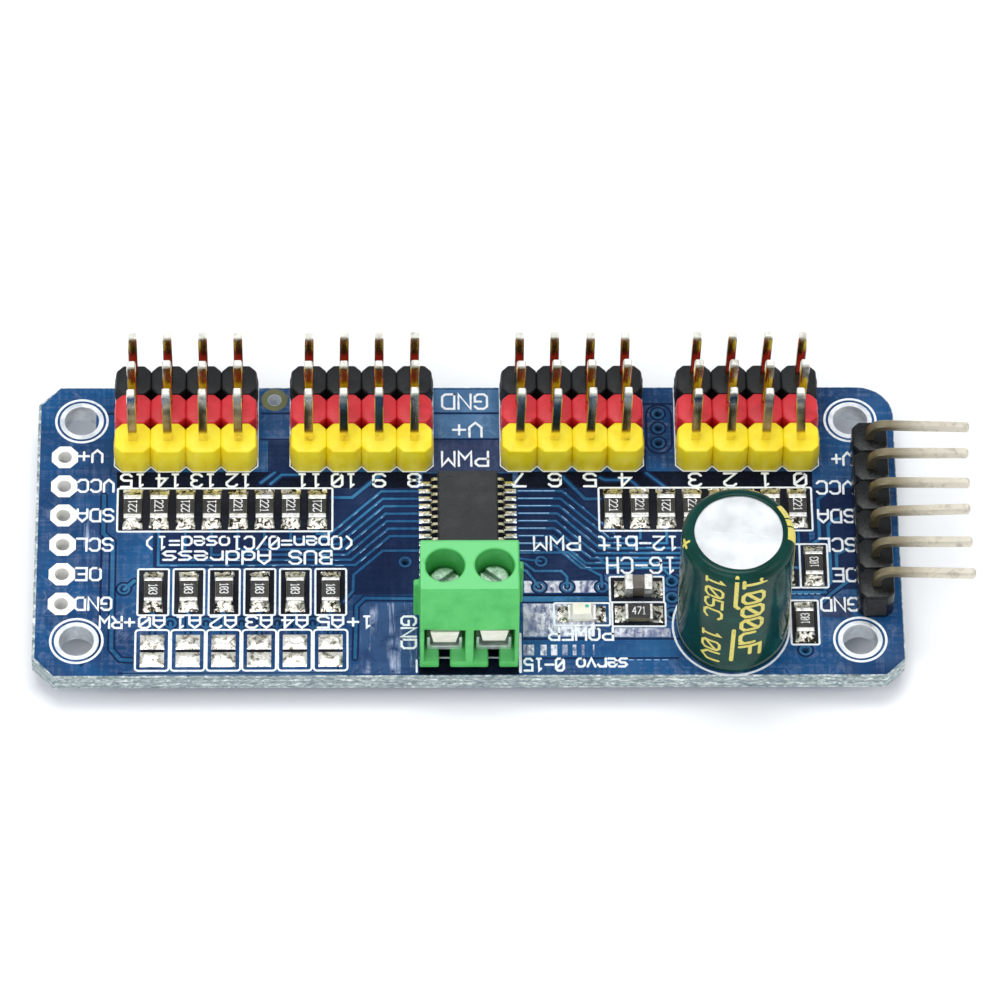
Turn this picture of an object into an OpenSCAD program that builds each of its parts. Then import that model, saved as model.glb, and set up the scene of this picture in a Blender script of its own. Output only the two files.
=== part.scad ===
// 16-channel servo driver board with screw terminal and pin headers.
// Millimetres. +X runs along the board towards the bent control pins, +Y towards the servo
// headers, +Z up. The origin is the centre of the four mounting holes on the board's underside.

/* [Board] */
// Length of the board along X
board_w = 62.2; // [62.0:0.1:63.0]
// Depth of the board along Y
board_d = 25.0; // [25.0:0.1:25.4]
// Thickness of the board
board_t = 1.6; // [1.4:0.1:1.8]
// Leg of the chamfers on the two left corners
left_chamfer = 1.55; // [1.0:0.05:1.8]
// Leg of the chamfer on the front right corner
front_right_chamfer = 1.35; // [1.0:0.05:1.8]
// Radius of the rounded back right corner
back_right_radius = 2.6; // [2.0:0.1:2.8]

/* [Mounting holes] */
// Hole spacing along X
mount_dx = 55.88; // [55.5:0.01:56.0]
// Hole spacing along Y
mount_dy = 19.05; // [19.0:0.01:19.3]
// Finished hole diameter
mount_hole_d = 2.5; // [2.4:0.05:2.6]
// Outside diameter of the tinned ring round each hole
mount_ring_d = 3.2; // [3.0:0.05:3.5]

/* [Headers] */
// Pitch of every pin header
pitch = 2.54; // [2.5:0.01:2.54]
// Side of the square pins
pin_side = 0.64; // [0.6:0.01:0.66]
// Height of the plastic housings
housing_h = 2.54; // [2.3:0.01:2.6]
// Corner cut of each housing cell
cell_cut = 0.5; // [0.3:0.05:0.6]
// Length of a servo pin above its housing
servo_pin_above = 5.9; // [5.6:0.1:6.5]
// Length of the pin tails below the board
tail_below = 1.5; // [1.3:0.1:1.7]
// Distance of the signal row from the centre line of the board
signal_row_y = 6.35; // [6.2:0.01:6.4]
// X of the control header's pin row
control_x = 29.1; // [29.0:0.05:29.2]
// Height of the bent control pins' centre line above the board
control_pin_z = 4.05; // [3.9:0.05:4.5]
// Centre-line radius of the bend in the control pins
control_bend = 1.0; // [0.8:0.1:1.2]
// X of the control pins' tips
control_tip_x = 36.0; // [35:0.1:37]

/* [Driver chip] */
// Width of the chip's moulded body along X
chip_w = 4.4; // [4.2:0.05:4.5]
// Length of the chip's moulded body along Y
chip_l = 9.6; // [9.5:0.05:9.8]
// Height of the chip's top above the board
chip_top = 1.05; // [0.95:0.05:1.2]
// Span over the tips of the leads
chip_span = 6.4; // [6.2:0.05:6.6]
// Pitch of the leads
lead_pitch = 0.65; // [0.63:0.01:0.66]
// Leads on each side
leads_per_side = 14; // [14:1:14]
// Y of the chip's centre
chip_y = -0.24; // [-0.3:0.02:-0.2]

/* [Chip components] */
// Length of a chip component
smd_l = 2.0; // [1.9:0.05:2.1]
// Width of a chip component
smd_w = 1.25; // [1.2:0.05:1.3]
// Height of a chip resistor
resistor_h = 0.5; // [0.4:0.05:0.6]
// Height of the bypass capacitor
bypass_h = 1.1; // [0.8:0.05:1.3]
// Pitch of the series resistors
series_pitch = 1.9; // [1.85:0.01:1.95]
// Resistors in each series row
series_count = 8; // [8:1:8]

/* [Reservoir capacitor] */
// Diameter over the sleeve
cap_d = 8.0; // [7.9:0.02:8.3]
// Height of the capacitor's top above the board
cap_h = 12.1; // [11:0.1:12.5]
// Diameter of the bare metal inside the sleeve's top lip
cap_window_d = 6.2; // [5.8:0.1:6.6]
// Spacing of the capacitor's leads
cap_lead_pitch = 3.5; // [3.5:0.1:3.6]

/* [Screw terminal] */
// Pitch of the two poles
pole_pitch = 3.5; // [3.5:0.01:3.5]
// Height of the housing's top above the board
terminal_h = 8.5; // [8.3:0.1:9.0]
// Width of each wire entry
entry_w = 2.9; // [2.8:0.05:2.9]
// Diameter of the screwdriver shafts in the housing's top
screw_hole_d = 2.75; // [2.6:0.05:2.8]
// Nominal thread diameter of the terminal screws
thread_d = 2.0; // [1.9:0.05:2.05]
// Extra height at which the right-hand screw stands compared with the left-hand one
right_lift = 0.2; // [0:0.05:0.2]
// Angle of the left-hand screw's slot
left_slot_angle = 40; // [0:1:179]
// Angle of the right-hand screw's slot
right_slot_angle = 140; // [0:1:179]

/* [Hidden] */
$fn = 48;
eps = 0.01;
plating = 0.04;
ring_t = 0.03;
drill_r = 0.5;
// Every square pin: half-width of its flat tip and length of the taper behind it
pin_tip = 0.24;
pin_taper = 0.3;
groups = [0, 1, 2, 3];
pins_per_group = 4;
group_step = pins_per_group + 1;
side_names = ["left", "right"];

// ---- Positions shared by several pieces ----

// X of pin i (0 to 3) in servo group g (0 to 3), with the whole row centred on the board.
// The gap between the two middle groups is one pitch wider than the others.
function servo_column(g, i) = g * group_step + i + (g > 1 ? 1 : 0);
servo_last = servo_column(3, pins_per_group - 1);
function servo_x(g, i) = (servo_column(g, i) - servo_last / 2) * pitch;
// Y of a servo row: 0 signal, 1 power, 2 ground
function servo_y(row) = signal_row_y + row * pitch;
// Y of control pin i (0 to 5), front to back
function control_y(i) = (i - 2.5) * pitch;
control_pins = [0:5];
servo_pins = [for (g = groups, i = [0:pins_per_group - 1], row = [0:2])
    [servo_x(g, i), servo_y(row)]];
control_pads = [for (i = control_pins) [control_x, control_y(i)]];
spare_pads = [for (i = control_pins) [-control_x, control_y(i)]];
mount_points = [for (sx = [-1, 1], sy = [-1, 1]) [sx * mount_dx / 2, sy * mount_dy / 2]];

// Screw terminal
terminal_front = -12.0;
terminal_back = -6.3;
screw_y = -8.7;
tail_y = -8.9;
terminal_tails = [for (s = [-1, 1]) [s * pole_pitch / 2, tail_y]];
terminal_tail_drill = 0.55;

// Reservoir capacitor
cap_x = 18.8;
cap_y = -8.37;
cap_lead_r = 0.3;
cap_leads = [for (s = [-1, 1]) [cap_x + s * cap_lead_pitch / 2, cap_y]];
cap_drill = 0.45;

// Vias: a column of three at the back, one each side of the terminal, and along the traces
via_drill = 0.2;
via_hole = 0.14;
via_ring_r = 0.48;
via_points = concat(
    [for (i = [0:2]) [13.95, 7.55 + i * 1.29]],
    [for (i = [0:2]) [14.6, -4.5 - i * 1.4]],
    [for (i = [0:4]) [-21.27 + i * pitch, -8.0]],
    [[-4.5, -2.8], [5.26, -2.76], [5.1, -4.98], [7.1, -4.98], [9.6, -5.0],
     [-24.64, -5.08], [24.0, -10.39]]);
tooling_hole = [-13.96, 11.4];
tooling_hole_r = 0.5;
spare_pad_w = 1.9;
spare_pad_cut = 0.55;

// Chip components: [x, y, angle]; at angle 0 the long side runs along Y
series_row_y = 1.78;
series_row_x = 17.33;
series_shift = -0.14;
series_places = [for (s = [-1, 1], i = [0:series_count - 1])
    [s * (series_row_x + (i - (series_count - 1) / 2) * series_pitch) + series_shift,
     series_row_y, 0]];
address_x = -22.54;
address_places = [for (i = [0:5]) [address_x + i * pitch, -5.37, 0]];
bus_places = [[22.75, -3.2, 0], [24.85, -3.2, 0], [24.03, -8.06, 0]];
pull_places = concat(address_places, bus_places);
lamp_resistor_place = [12.19, -7.33, 90];
bypass_place = [12.19, -5.2, 90];
lamp_place = [8.1, -7.33, 90];
jumper_y = -10.37;
jumper_pad_step = 1.48;
jumper_pad = [1.7, 1.22, 0.08];
jumper_places = [for (i = [0:5], s = [-1, 1])
    [address_x + i * pitch, jumper_y + s * jumper_pad_step / 2]];

// ---- Small helpers ----

module on_board() { translate([0, 0, board_t]) children(); }

module at(points) { for (p = points) translate([p[0], p[1], 0]) children(); }

module placed(places) {
    for (p = places) translate([p[0], p[1], board_t]) rotate([0, 0, p[2]]) children();
}

// A box centred on x and y, standing on z = 0
module block(size) { translate([-size[0] / 2, -size[1] / 2, 0]) cube(size); }

// Outline in the YZ plane, given as [y, z], extruded along X and centred on x = 0
module profile_yz(width, points) {
    rotate([90, 0, 90]) translate([0, 0, -width / 2]) linear_extrude(width) polygon(points);
}

// Outline in the XZ plane, given as [x, z], extruded along Y and centred on y = 0
module profile_xz(depth, points) {
    rotate([90, 0, 0]) translate([0, 0, -depth / 2]) linear_extrude(depth) polygon(points);
}

// Octagon: a square of side s with its corners cut by c
module octagon(s, c) {
    h = s / 2;
    polygon([[-h, c - h], [c - h, -h], [h - c, -h], [h, c - h],
             [h, h - c], [h - c, h], [c - h, h], [-h, h - c]]);
}

// ---- Board ----

module board_outline() {
    w = board_w / 2;
    d = board_d / 2;
    r = back_right_radius;
    union() {
        polygon([[-w, left_chamfer - d], [left_chamfer - w, -d],
                 [w - front_right_chamfer, -d], [w, front_right_chamfer - d],
                 [w, d - r], [w - r, d], [left_chamfer - w, d], [-w, d - left_chamfer]]);
        translate([w - r, d - r]) circle(r = r);
    }
}

module board() {
    color("#14457e") difference() {
        linear_extrude(board_t) board_outline();
        translate([0, 0, -eps]) {
            tall = board_t + 2 * eps;
            at(mount_points) cylinder(h = tall, r = mount_hole_d / 2 + plating);
            at(servo_pins) cylinder(h = tall, r = drill_r);
            at(control_pads) cylinder(h = tall, r = drill_r);
            at(spare_pads) cylinder(h = tall, r = drill_r + plating);
            at(via_points) cylinder(h = tall, r = via_drill);
            at(cap_leads) cylinder(h = tall, r = cap_drill);
            at(terminal_tails) cylinder(h = tall, r = terminal_tail_drill);
            at([tooling_hole]) cylinder(h = tall, r = tooling_hole_r);
        }
    }
}

// A plated hole: barrel through the board with a flat ring on both faces
module plated_hole(hole_r, drill, ring_r) {
    difference() {
        union() {
            cylinder(h = board_t, r = drill);
            for (z = [-ring_t, board_t]) translate([0, 0, z]) cylinder(h = ring_t, r = ring_r);
        }
        translate([0, 0, -ring_t - eps])
            cylinder(h = board_t + 2 * ring_t + 2 * eps, r = hole_r);
    }
}

module mounting_hole_plating() {
    color("#d8d4c4") at(mount_points)
        plated_hole(mount_hole_d / 2, mount_hole_d / 2 + plating, mount_ring_d / 2);
}

module spare_control_pads() {
    color("#dcd8c6") at(spare_pads) difference() {
        union() {
            cylinder(h = board_t, r = drill_r + plating);
            for (z = [-ring_t, board_t])
                translate([0, 0, z]) linear_extrude(ring_t) octagon(spare_pad_w, spare_pad_cut);
        }
        translate([0, 0, -ring_t - eps])
            cylinder(h = board_t + 2 * ring_t + 2 * eps, r = drill_r);
    }
}

module vias() {
    color("#3f7fa8") at(via_points) plated_hole(via_hole, via_drill, via_ring_r);
}

module jumper_pads() {
    color("#cfd2cf") on_board() at(jumper_places) block(jumper_pad);
}

// ---- Pin headers ----

// Strip of n octagonal cells along X, with a square hole in each for its pin
module header_strip(n) {
    difference() {
        linear_extrude(housing_h)
            for (i = [0:n - 1]) translate([i * pitch, 0]) octagon(pitch, cell_cut);
        for (i = [0:n - 1]) translate([i * pitch, 0, -eps])
            block([pin_side, pin_side, housing_h + 2 * eps]);
    }
}

// Square bar from z = 0 to h with a short taper at both ends
module square_pin(h) {
    a = pin_side / 2;
    bar = [[-pin_tip, 0], [pin_tip, 0], [a, pin_taper], [a, h - pin_taper],
           [pin_tip, h], [-pin_tip, h], [-a, h - pin_taper], [-a, pin_taper]];
    intersection() {
        profile_xz(pin_side, bar);
        profile_yz(pin_side, bar);
    }
}

module servo_housing(g, row) {
    translate([servo_x(g, 0), servo_y(row), board_t]) header_strip(pins_per_group);
}

module servo_pin_group(g, row) {
    h = tail_below + board_t + housing_h + servo_pin_above;
    color("#d8c58a") for (i = [0:pins_per_group - 1])
        translate([servo_x(g, i), servo_y(row), -tail_below]) square_pin(h);
}

module signal_housing(g) { color("#f2cf1c") servo_housing(g, 0); }
module power_housing(g) { color("#d92a33") servo_housing(g, 1); }
module ground_housing(g) { color("#2c2d30") servo_housing(g, 2); }

// Underside solder: a flat collar on the pad and a cone below it
collar_t = 0.12;
cone_reach = 0.95;

// Solder that fills a plated hole and stands as a cone on the underside, round children()
module hole_solder(barrel_r, collar_r, cone_r, cone_tip_r) {
    difference() {
        union() {
            translate([0, 0, -eps]) cylinder(h = board_t + eps, r = barrel_r);
            translate([0, 0, -collar_t]) cylinder(h = collar_t, r = collar_r);
            translate([0, 0, -cone_reach])
                cylinder(h = cone_reach - collar_t + eps, r1 = cone_tip_r, r2 = cone_r);
        }
        translate([0, 0, -board_t]) children();
    }
}

module pin_solder() {
    hole_solder(drill_r, 0.85, 0.8, 0.5) block([pin_side, pin_side, 3 * board_t]);
}

module servo_header_solder() { color("#c9ccd0") at(servo_pins) pin_solder(); }

module control_header_housing() {
    color("#2a2b2d") translate([control_x, control_y(0), board_t])
        rotate([0, 0, 90]) header_strip(6);
}

// Pin that rises through its housing, bends over and runs out along +X
module control_pin() {
    a = pin_side / 2;
    rise = board_t + control_pin_z - control_bend;
    run = control_tip_x - control_x - control_bend;
    foot = [[-pin_tip, -tail_below], [pin_tip, -tail_below], [a, pin_taper - tail_below],
            [a, rise], [-a, rise], [-a, pin_taper - tail_below]];
    arm = [[0, -a], [run - pin_taper, -a], [run, -pin_tip], [run, pin_tip],
           [run - pin_taper, a], [0, a]];
    intersection() {
        profile_xz(pin_side, foot);
        profile_yz(pin_side, foot);
    }
    translate([control_bend, 0, rise]) rotate([-90, 0, 0]) rotate([0, 0, 180])
        rotate_extrude(angle = 90) translate([control_bend - a, -a]) square(pin_side);
    translate([control_bend, 0, rise + control_bend]) intersection() {
        profile_xz(pin_side, arm);
        linear_extrude(2 * pin_side, center = true) polygon(arm);
    }
}

module control_header_pins() { color("#d6d2c0") at(control_pads) control_pin(); }

module control_header_solder() { color("#c9ccd0") at(control_pads) pin_solder(); }

// ---- Driver chip ----

chip_x = 0.03;
chip_low = 0.1;
chip_draft = 0.12;
chip_mid = (chip_low + chip_top) / 2;
lead_w = 0.24;
lead_t = 0.13;
lead_foot = 0.5;
lead_shoulder = 0.34;

module in_chip() { translate([chip_x, chip_y, board_t]) children(); }

// Side outline of the moulded body, drafted above and below the level of its leads
function chip_outline(half) = [
    [chip_draft - half, chip_low], [half - chip_draft, chip_low], [half, chip_mid],
    [half - chip_draft, chip_top], [chip_draft - half, chip_top], [-half, chip_mid]];

module driver_chip_body() {
    color("#3d4042") in_chip() intersection() {
        profile_xz(chip_l, chip_outline(chip_w / 2));
        profile_yz(chip_w, chip_outline(chip_l / 2));
    }
}

// Gull-wing lead on the +X side, from the body's side down to the board
module gull_lead() {
    inner = chip_w / 2;
    outer = chip_span / 2;
    half_t = lead_t / 2;
    lean = 0.05;
    profile_xz(lead_w, [
        [inner, chip_mid - half_t], [inner + lead_shoulder - lean, chip_mid - half_t],
        [outer - lead_foot - lean, 0], [outer, 0], [outer, lead_t],
        [outer - lead_foot + lean, lead_t], [inner + lead_shoulder + lean, chip_mid + half_t],
        [inner, chip_mid + half_t]]);
}

module driver_chip_leads() {
    color("#e4dfc8") in_chip()
        for (side = [0, 180], i = [0:leads_per_side - 1])
            rotate([0, 0, side])
                translate([0, (i - (leads_per_side - 1) / 2) * lead_pitch, 0]) gull_lead();
}

// ---- Chip components ----

// Length of the metal caps, and their thickness over the ceramic
cap_wrap = 0.35;
cap_film = 0.05;
// Length of the solder beyond a component's end, and its depth at the far edge
fillet_l = 0.6;
fillet_edge = 0.06;

// Ceramic body of a chip component, long side along Y
module chip_body(h) {
    translate([0, 0, cap_film])
        block([smd_w - 2 * cap_film, smd_l - 2 * cap_film, h - 2 * cap_film]);
}

// Metal caps wrapped round both ends of a chip component
module chip_caps(h) {
    difference() {
        for (s = [-1, 1]) translate([0, s * (smd_l - cap_wrap) / 2, 0])
            block([smd_w, cap_wrap, h]);
        chip_body(h);
    }
}

// Solder wedge between a chip component's end and its pad, at both ends
module chip_fillets(h) {
    for (s = [0, 180]) rotate([0, 0, s]) translate([0, smd_l / 2, 0])
        profile_yz(smd_w - 2 * cap_film, [
            [0, 0], [fillet_l, 0], [fillet_l, fillet_edge], [0.4 * fillet_l, 0.3 * h],
            [0, 0.7 * h]]);
}

module series_resistor_bodies() { color("#26272a") placed(series_places) chip_body(resistor_h); }
module series_resistor_caps() { color("#d5d8da") placed(series_places) chip_caps(resistor_h); }
module pull_resistor_bodies() { color("#26272a") placed(pull_places) chip_body(resistor_h); }
module pull_resistor_caps() { color("#d5d8da") placed(pull_places) chip_caps(resistor_h); }
module lamp_resistor_body() {
    color("#26272a") placed([lamp_resistor_place]) chip_body(resistor_h);
}
module lamp_resistor_caps() {
    color("#d5d8da") placed([lamp_resistor_place]) chip_caps(resistor_h);
}
module bypass_capacitor_body() { color("#8c7a62") placed([bypass_place]) chip_body(bypass_h); }
module bypass_capacitor_caps() { color("#d5d8da") placed([bypass_place]) chip_caps(bypass_h); }

lamp_base_h = 0.35;
lamp_lens_h = 0.45;
lamp_end = 0.35;

module power_lamp_base() {
    color("#efeede") placed([lamp_place]) block([smd_w, smd_l, lamp_base_h]);
}

module power_lamp_lens() {
    color("#f6f4df") placed([lamp_place]) translate([0, 0, lamp_base_h])
        block([smd_w, smd_l - 2 * lamp_end, lamp_lens_h]);
}

module chip_solder() {
    color("#c4c8cb") {
        placed(concat(series_places, pull_places, [lamp_resistor_place]))
            chip_fillets(resistor_h);
        placed([bypass_place]) chip_fillets(bypass_h * 0.6);
        placed([lamp_place]) chip_fillets(lamp_base_h);
    }
}

// ---- Reservoir capacitor ----

sleeve_t = 0.13;
can_r = cap_d / 2 - sleeve_t;
can_wall = 0.25;
can_foot = 0.1;
can_round = 0.5;
bung_h = 1.8;
winding_gap = 0.15;
winding_bore = 0.5;
lead_stub = 0.3;

module in_capacitor() { translate([cap_x, cap_y, board_t]) children(); }

// Half outline of a round-shouldered cylinder of radius r, from z0 to z1
module shouldered(r, z0, z1, round_r) {
    union() {
        translate([0, z0]) square([r, z1 - z0 - round_r]);
        translate([0, z0]) square([r - round_r, z1 - z0]);
        translate([r - round_r, z1 - round_r]) intersection() {
            circle(r = round_r);
            square(round_r);
        }
    }
}

module capacitor_can() {
    color("#e9ebec") in_capacitor() rotate_extrude($fn = 96) difference() {
        shouldered(can_r, can_foot, cap_h - sleeve_t, can_round);
        translate([0, can_foot - eps])
            square([can_r - can_wall, cap_h - sleeve_t - can_wall - can_foot]);
    }
}

module capacitor_sleeve() {
    color("#1d5148") in_capacitor() rotate_extrude($fn = 96) difference() {
        shouldered(can_r + sleeve_t, can_foot, cap_h, can_round + sleeve_t);
        shouldered(can_r, can_foot - eps, cap_h - sleeve_t, can_round);
        translate([0, cap_h - can_round]) square([cap_window_d / 2, 1]);
    }
}

module capacitor_bung() {
    color("#25262a") in_capacitor() translate([0, 0, can_foot]) difference() {
        cylinder(h = bung_h, r = can_r - can_wall);
        for (s = [-1, 1]) translate([s * cap_lead_pitch / 2, 0, -eps])
            cylinder(h = bung_h + 2 * eps, r = cap_lead_r);
    }
}

module capacitor_winding() {
    low = can_foot + bung_h + lead_stub;
    high = cap_h - sleeve_t - can_wall - winding_gap;
    color("#b9b4a6") in_capacitor() translate([0, 0, low]) difference() {
        cylinder(h = high - low, r = can_r - can_wall - winding_gap);
        translate([0, 0, -eps]) cylinder(h = high - low + 2 * eps, r = winding_bore);
    }
}

module capacitor_leads() {
    color("#d3d5d6") at(cap_leads) translate([0, 0, -tail_below])
        cylinder(h = tail_below + board_t + can_foot + bung_h + lead_stub, r = cap_lead_r);
}

// Solder of the capacitor's round leads and of the terminal's flat tails
module power_solder() {
    color("#c9ccd0") {
        at(cap_leads) hole_solder(cap_drill, 0.9, 0.85, 0.42)
            cylinder(h = 3 * board_t, r = cap_lead_r);
        at(terminal_tails) hole_solder(terminal_tail_drill, 1.0, 0.95, 0.6)
            block([tail_w, tail_t, 3 * board_t]);
    }
}

// ---- Screw terminal ----

terminal_w = 2 * pole_pitch;
housing_low = 0.25;
top_chamfer = [0.3, 0.5];
front_slope = 1.25;
foot_size = [0.6, 0.8];
floor_slot = [0.77, 1.8];
// Interlocking ribs on the ends: how far each stands out, its width and height, and where
rib_low = 1.5;
left_rib = [0.44, 0.55, 3.9];
left_rib_y = -8.08;
right_rib = [0.34, 0.75, 4.3];
right_rib_y = -6.95;
entry_low = 0.95;
entry_high = 5.1;
tab_low = 3.6;
tab_t = 0.8;
tab_front = -10.35;
thread_gap = 0.04;
plate_low = 0.95;
plate_t = 0.3;
plate_front = -10.9;
// Low wall at the front of the contact plate, with an opening for the wire
lip_t = 0.25;
lip_top = 2.5;
lip_opening = 2.06;
lip_opening_low = 1.38;
contact_w = 2.5;
contact_back = -6.95;
contact_strip = 0.35;
tail_w = 0.8;
tail_t = 0.5;
guard_low = 2.5;
guard_t = 0.3;
guard_w = 1.6;
guard_top_w = 2.05;
guard_top = 4.4;
guard_front = -11.3;
guard_l = 3.7;
flange_t = 0.25;
screw_top = 6.6;
head_h = 0.95;
head_r = 1.15;
head_chamfer = 0.12;
slot_w = 0.42;
slot_depth = 0.5;
screw_gap = 0.02;

module pole(side) { translate([side * pole_pitch / 2, 0, board_t]) children(); }

// Rib on one end of the housing, bedded a little into it
module end_rib(side, size, y) {
    translate([side * (terminal_w + size[0]) / 2, y, rib_low])
        block([size[0] + 2 * eps, size[1], size[2]]);
}

module terminal_shell() {
    profile_yz(terminal_w, [
        [terminal_back, housing_low], [terminal_back, terminal_h - top_chamfer[1]],
        [terminal_back - top_chamfer[0], terminal_h], [terminal_front + front_slope, terminal_h],
        [terminal_front, entry_high], [terminal_front, housing_low]]);
    // Feet under the four corners
    for (sx = [-1, 1], y = [terminal_back - 0.5, terminal_front + 1.0])
        translate([sx * (terminal_w / 2 - 0.4), y, 0])
            block([foot_size[0], foot_size[1], housing_low + eps]);
    end_rib(-1, left_rib, left_rib_y);
    end_rib(1, right_rib, right_rib_y);
}

module terminal_cavity() {
    depth = contact_back - terminal_front;
    // Wire entry and contact chamber
    translate([-entry_w / 2, terminal_front - 1, entry_low])
        cube([entry_w, depth + 1, entry_high - entry_low]);
    // Screwdriver shaft
    translate([0, screw_y, entry_high - eps])
        cylinder(h = terminal_h - entry_high + 1, r = screw_hole_d / 2);
    // Slot in the floor in front of the contact
    translate([-floor_slot[0] / 2, terminal_front - 1, -eps])
        cube([floor_slot[0], floor_slot[1] + 1, entry_low + 2 * eps]);
    // Way out for the solder tail
    translate([0, tail_y, -eps]) block([tail_w, tail_t, entry_low + 2 * eps]);
}

module terminal_housing() {
    color("#5ecb6b") difference() {
        on_board() terminal_shell();
        for (side = [-1, 1]) pole(side) terminal_cavity();
    }
}

module contact_lip() {
    r = 0.23;
    difference() {
        translate([0, plate_front + lip_t / 2, plate_low])
            block([contact_w, lip_t, lip_top - plate_low]);
        translate([0, plate_front + lip_t / 2, lip_opening_low + r]) {
            block([lip_opening, 1, lip_top]);
            for (s = [-1, 1]) translate([s * (lip_opening / 2 - r), 0, 0])
                rotate([90, 0, 0]) cylinder(h = 1, r = r, center = true);
            translate([0, 0, -r]) block([lip_opening - 2 * r, 1, 1]);
        }
    }
}

// Fixed contact: bottom plate with its front wall, back strip, threaded tab and solder tail
module terminal_contact() {
    strip_front = contact_back - contact_strip;
    difference() {
        union() {
            contact_lip();
            profile_yz(contact_w, [
                [contact_back, plate_low], [contact_back, tab_low + tab_t],
                [tab_front, tab_low + tab_t], [tab_front, tab_low], [strip_front, tab_low],
                [strip_front, plate_low + plate_t], [plate_front, plate_low + plate_t],
                [plate_front, plate_low]]);
            translate([0, tail_y, -board_t - tail_below])
                block([tail_w, tail_t, board_t + tail_below + plate_low + eps]);
        }
        translate([0, screw_y, tab_low - eps])
            cylinder(h = tab_t + 2 * eps, r = thread_d / 2 + thread_gap);
    }
}

module terminal_contact_side(side) { color("#cdb96a") pole(side) terminal_contact(); }

// Pressure plate under the screw with a flared guard in front of it
module wire_guard() {
    lean = 0.42;
    translate([-guard_w / 2, guard_front, guard_low]) cube([guard_w, guard_l, guard_t]);
    translate([0, guard_front, 0]) intersection() {
        profile_yz(2 * guard_top_w, [
            [0, guard_low], [flange_t, guard_low], [flange_t, guard_low + guard_t],
            [flange_t - lean, guard_top], [-lean, guard_top]]);
        profile_xz(2, [[-guard_w / 2, guard_low], [guard_w / 2, guard_low],
                       [guard_top_w / 2, guard_top], [-guard_top_w / 2, guard_top]]);
    }
}

module wire_guard_side(side, lift) {
    color("#ded8cc") pole(side) translate([0, 0, lift]) wire_guard();
}

module terminal_screw(slot_angle) {
    low = guard_low + guard_t + screw_gap;
    translate([0, screw_y, 0]) difference() {
        union() {
            translate([0, 0, low]) cylinder(h = screw_top - head_h - low + eps, r = thread_d / 2);
            translate([0, 0, screw_top - head_h]) cylinder(h = head_h - head_chamfer, r = head_r);
            translate([0, 0, screw_top - head_chamfer])
                cylinder(h = head_chamfer, r1 = head_r, r2 = head_r - head_chamfer);
        }
        translate([0, 0, screw_top - slot_depth]) rotate([0, 0, slot_angle])
            block([3 * head_r, slot_w, head_h]);
    }
}

module terminal_screw_side(side, lift, slot_angle) {
    color("#c9cdc6") pole(side) translate([0, 0, lift]) terminal_screw(slot_angle);
}

// ---- Nodes ----

board();
mounting_hole_plating();
spare_control_pads();
vias();
jumper_pads();
for (g = groups) {
    signal_housing(g);
    power_housing(g);
    ground_housing(g);
    servo_pin_group(g, 0);
    servo_pin_group(g, 1);
    servo_pin_group(g, 2);
}
servo_header_solder();
control_header_housing();
control_header_pins();
control_header_solder();
driver_chip_body();
driver_chip_leads();
capacitor_can();
capacitor_sleeve();
capacitor_bung();
capacitor_winding();
capacitor_leads();
power_solder();
terminal_housing();
terminal_contact_side(-1);  // terminal_contact_left
terminal_contact_side(1);  // terminal_contact_right
wire_guard_side(-1, 0);  // wire_guard_left
wire_guard_side(1, right_lift);  // wire_guard_right
terminal_screw_side(-1, 0, left_slot_angle);  // terminal_screw_left
terminal_screw_side(1, right_lift, right_slot_angle);  // terminal_screw_right
series_resistor_bodies();
series_resistor_caps();
pull_resistor_bodies();
pull_resistor_caps();
lamp_resistor_body();
lamp_resistor_caps();
bypass_capacitor_body();
bypass_capacitor_caps();
power_lamp_base();
power_lamp_lens();
chip_solder();
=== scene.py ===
"""Looks of the servo driver board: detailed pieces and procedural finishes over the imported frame.

Lengths below are millimetres in the frame's own axes: +X towards the bent control pins, +Y towards
the servo headers, +Z up. Build.make() turns them into metres.
"""
import math
import random

import bmesh
import bpy
from mathutils import Matrix, Vector
from mathutils.geometry import tessellate_polygon


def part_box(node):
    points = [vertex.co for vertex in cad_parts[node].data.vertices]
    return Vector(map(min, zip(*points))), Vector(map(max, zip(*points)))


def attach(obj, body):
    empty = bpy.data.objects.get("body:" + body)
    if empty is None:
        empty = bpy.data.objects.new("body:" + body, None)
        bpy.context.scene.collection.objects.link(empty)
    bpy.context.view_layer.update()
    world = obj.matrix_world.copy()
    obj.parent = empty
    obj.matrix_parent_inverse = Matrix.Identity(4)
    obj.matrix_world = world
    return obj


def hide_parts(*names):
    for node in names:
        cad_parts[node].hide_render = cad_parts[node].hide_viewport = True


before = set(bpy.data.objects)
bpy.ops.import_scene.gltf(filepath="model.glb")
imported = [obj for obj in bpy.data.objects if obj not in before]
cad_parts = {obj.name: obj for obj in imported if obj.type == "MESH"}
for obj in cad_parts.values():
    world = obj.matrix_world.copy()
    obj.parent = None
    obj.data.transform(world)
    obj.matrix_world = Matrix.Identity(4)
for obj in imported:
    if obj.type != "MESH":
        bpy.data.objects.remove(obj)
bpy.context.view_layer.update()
MM = 0.001
RNG = random.Random(11)


def box_mm(node):
    """Lowest and highest corner of a CAD node, in millimetres."""
    low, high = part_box(node)
    return low / MM, high / MM


def centre_mm(node):
    low, high = box_mm(node)
    return (low + high) / 2


# ---- Sizes read from the frame ----

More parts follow.
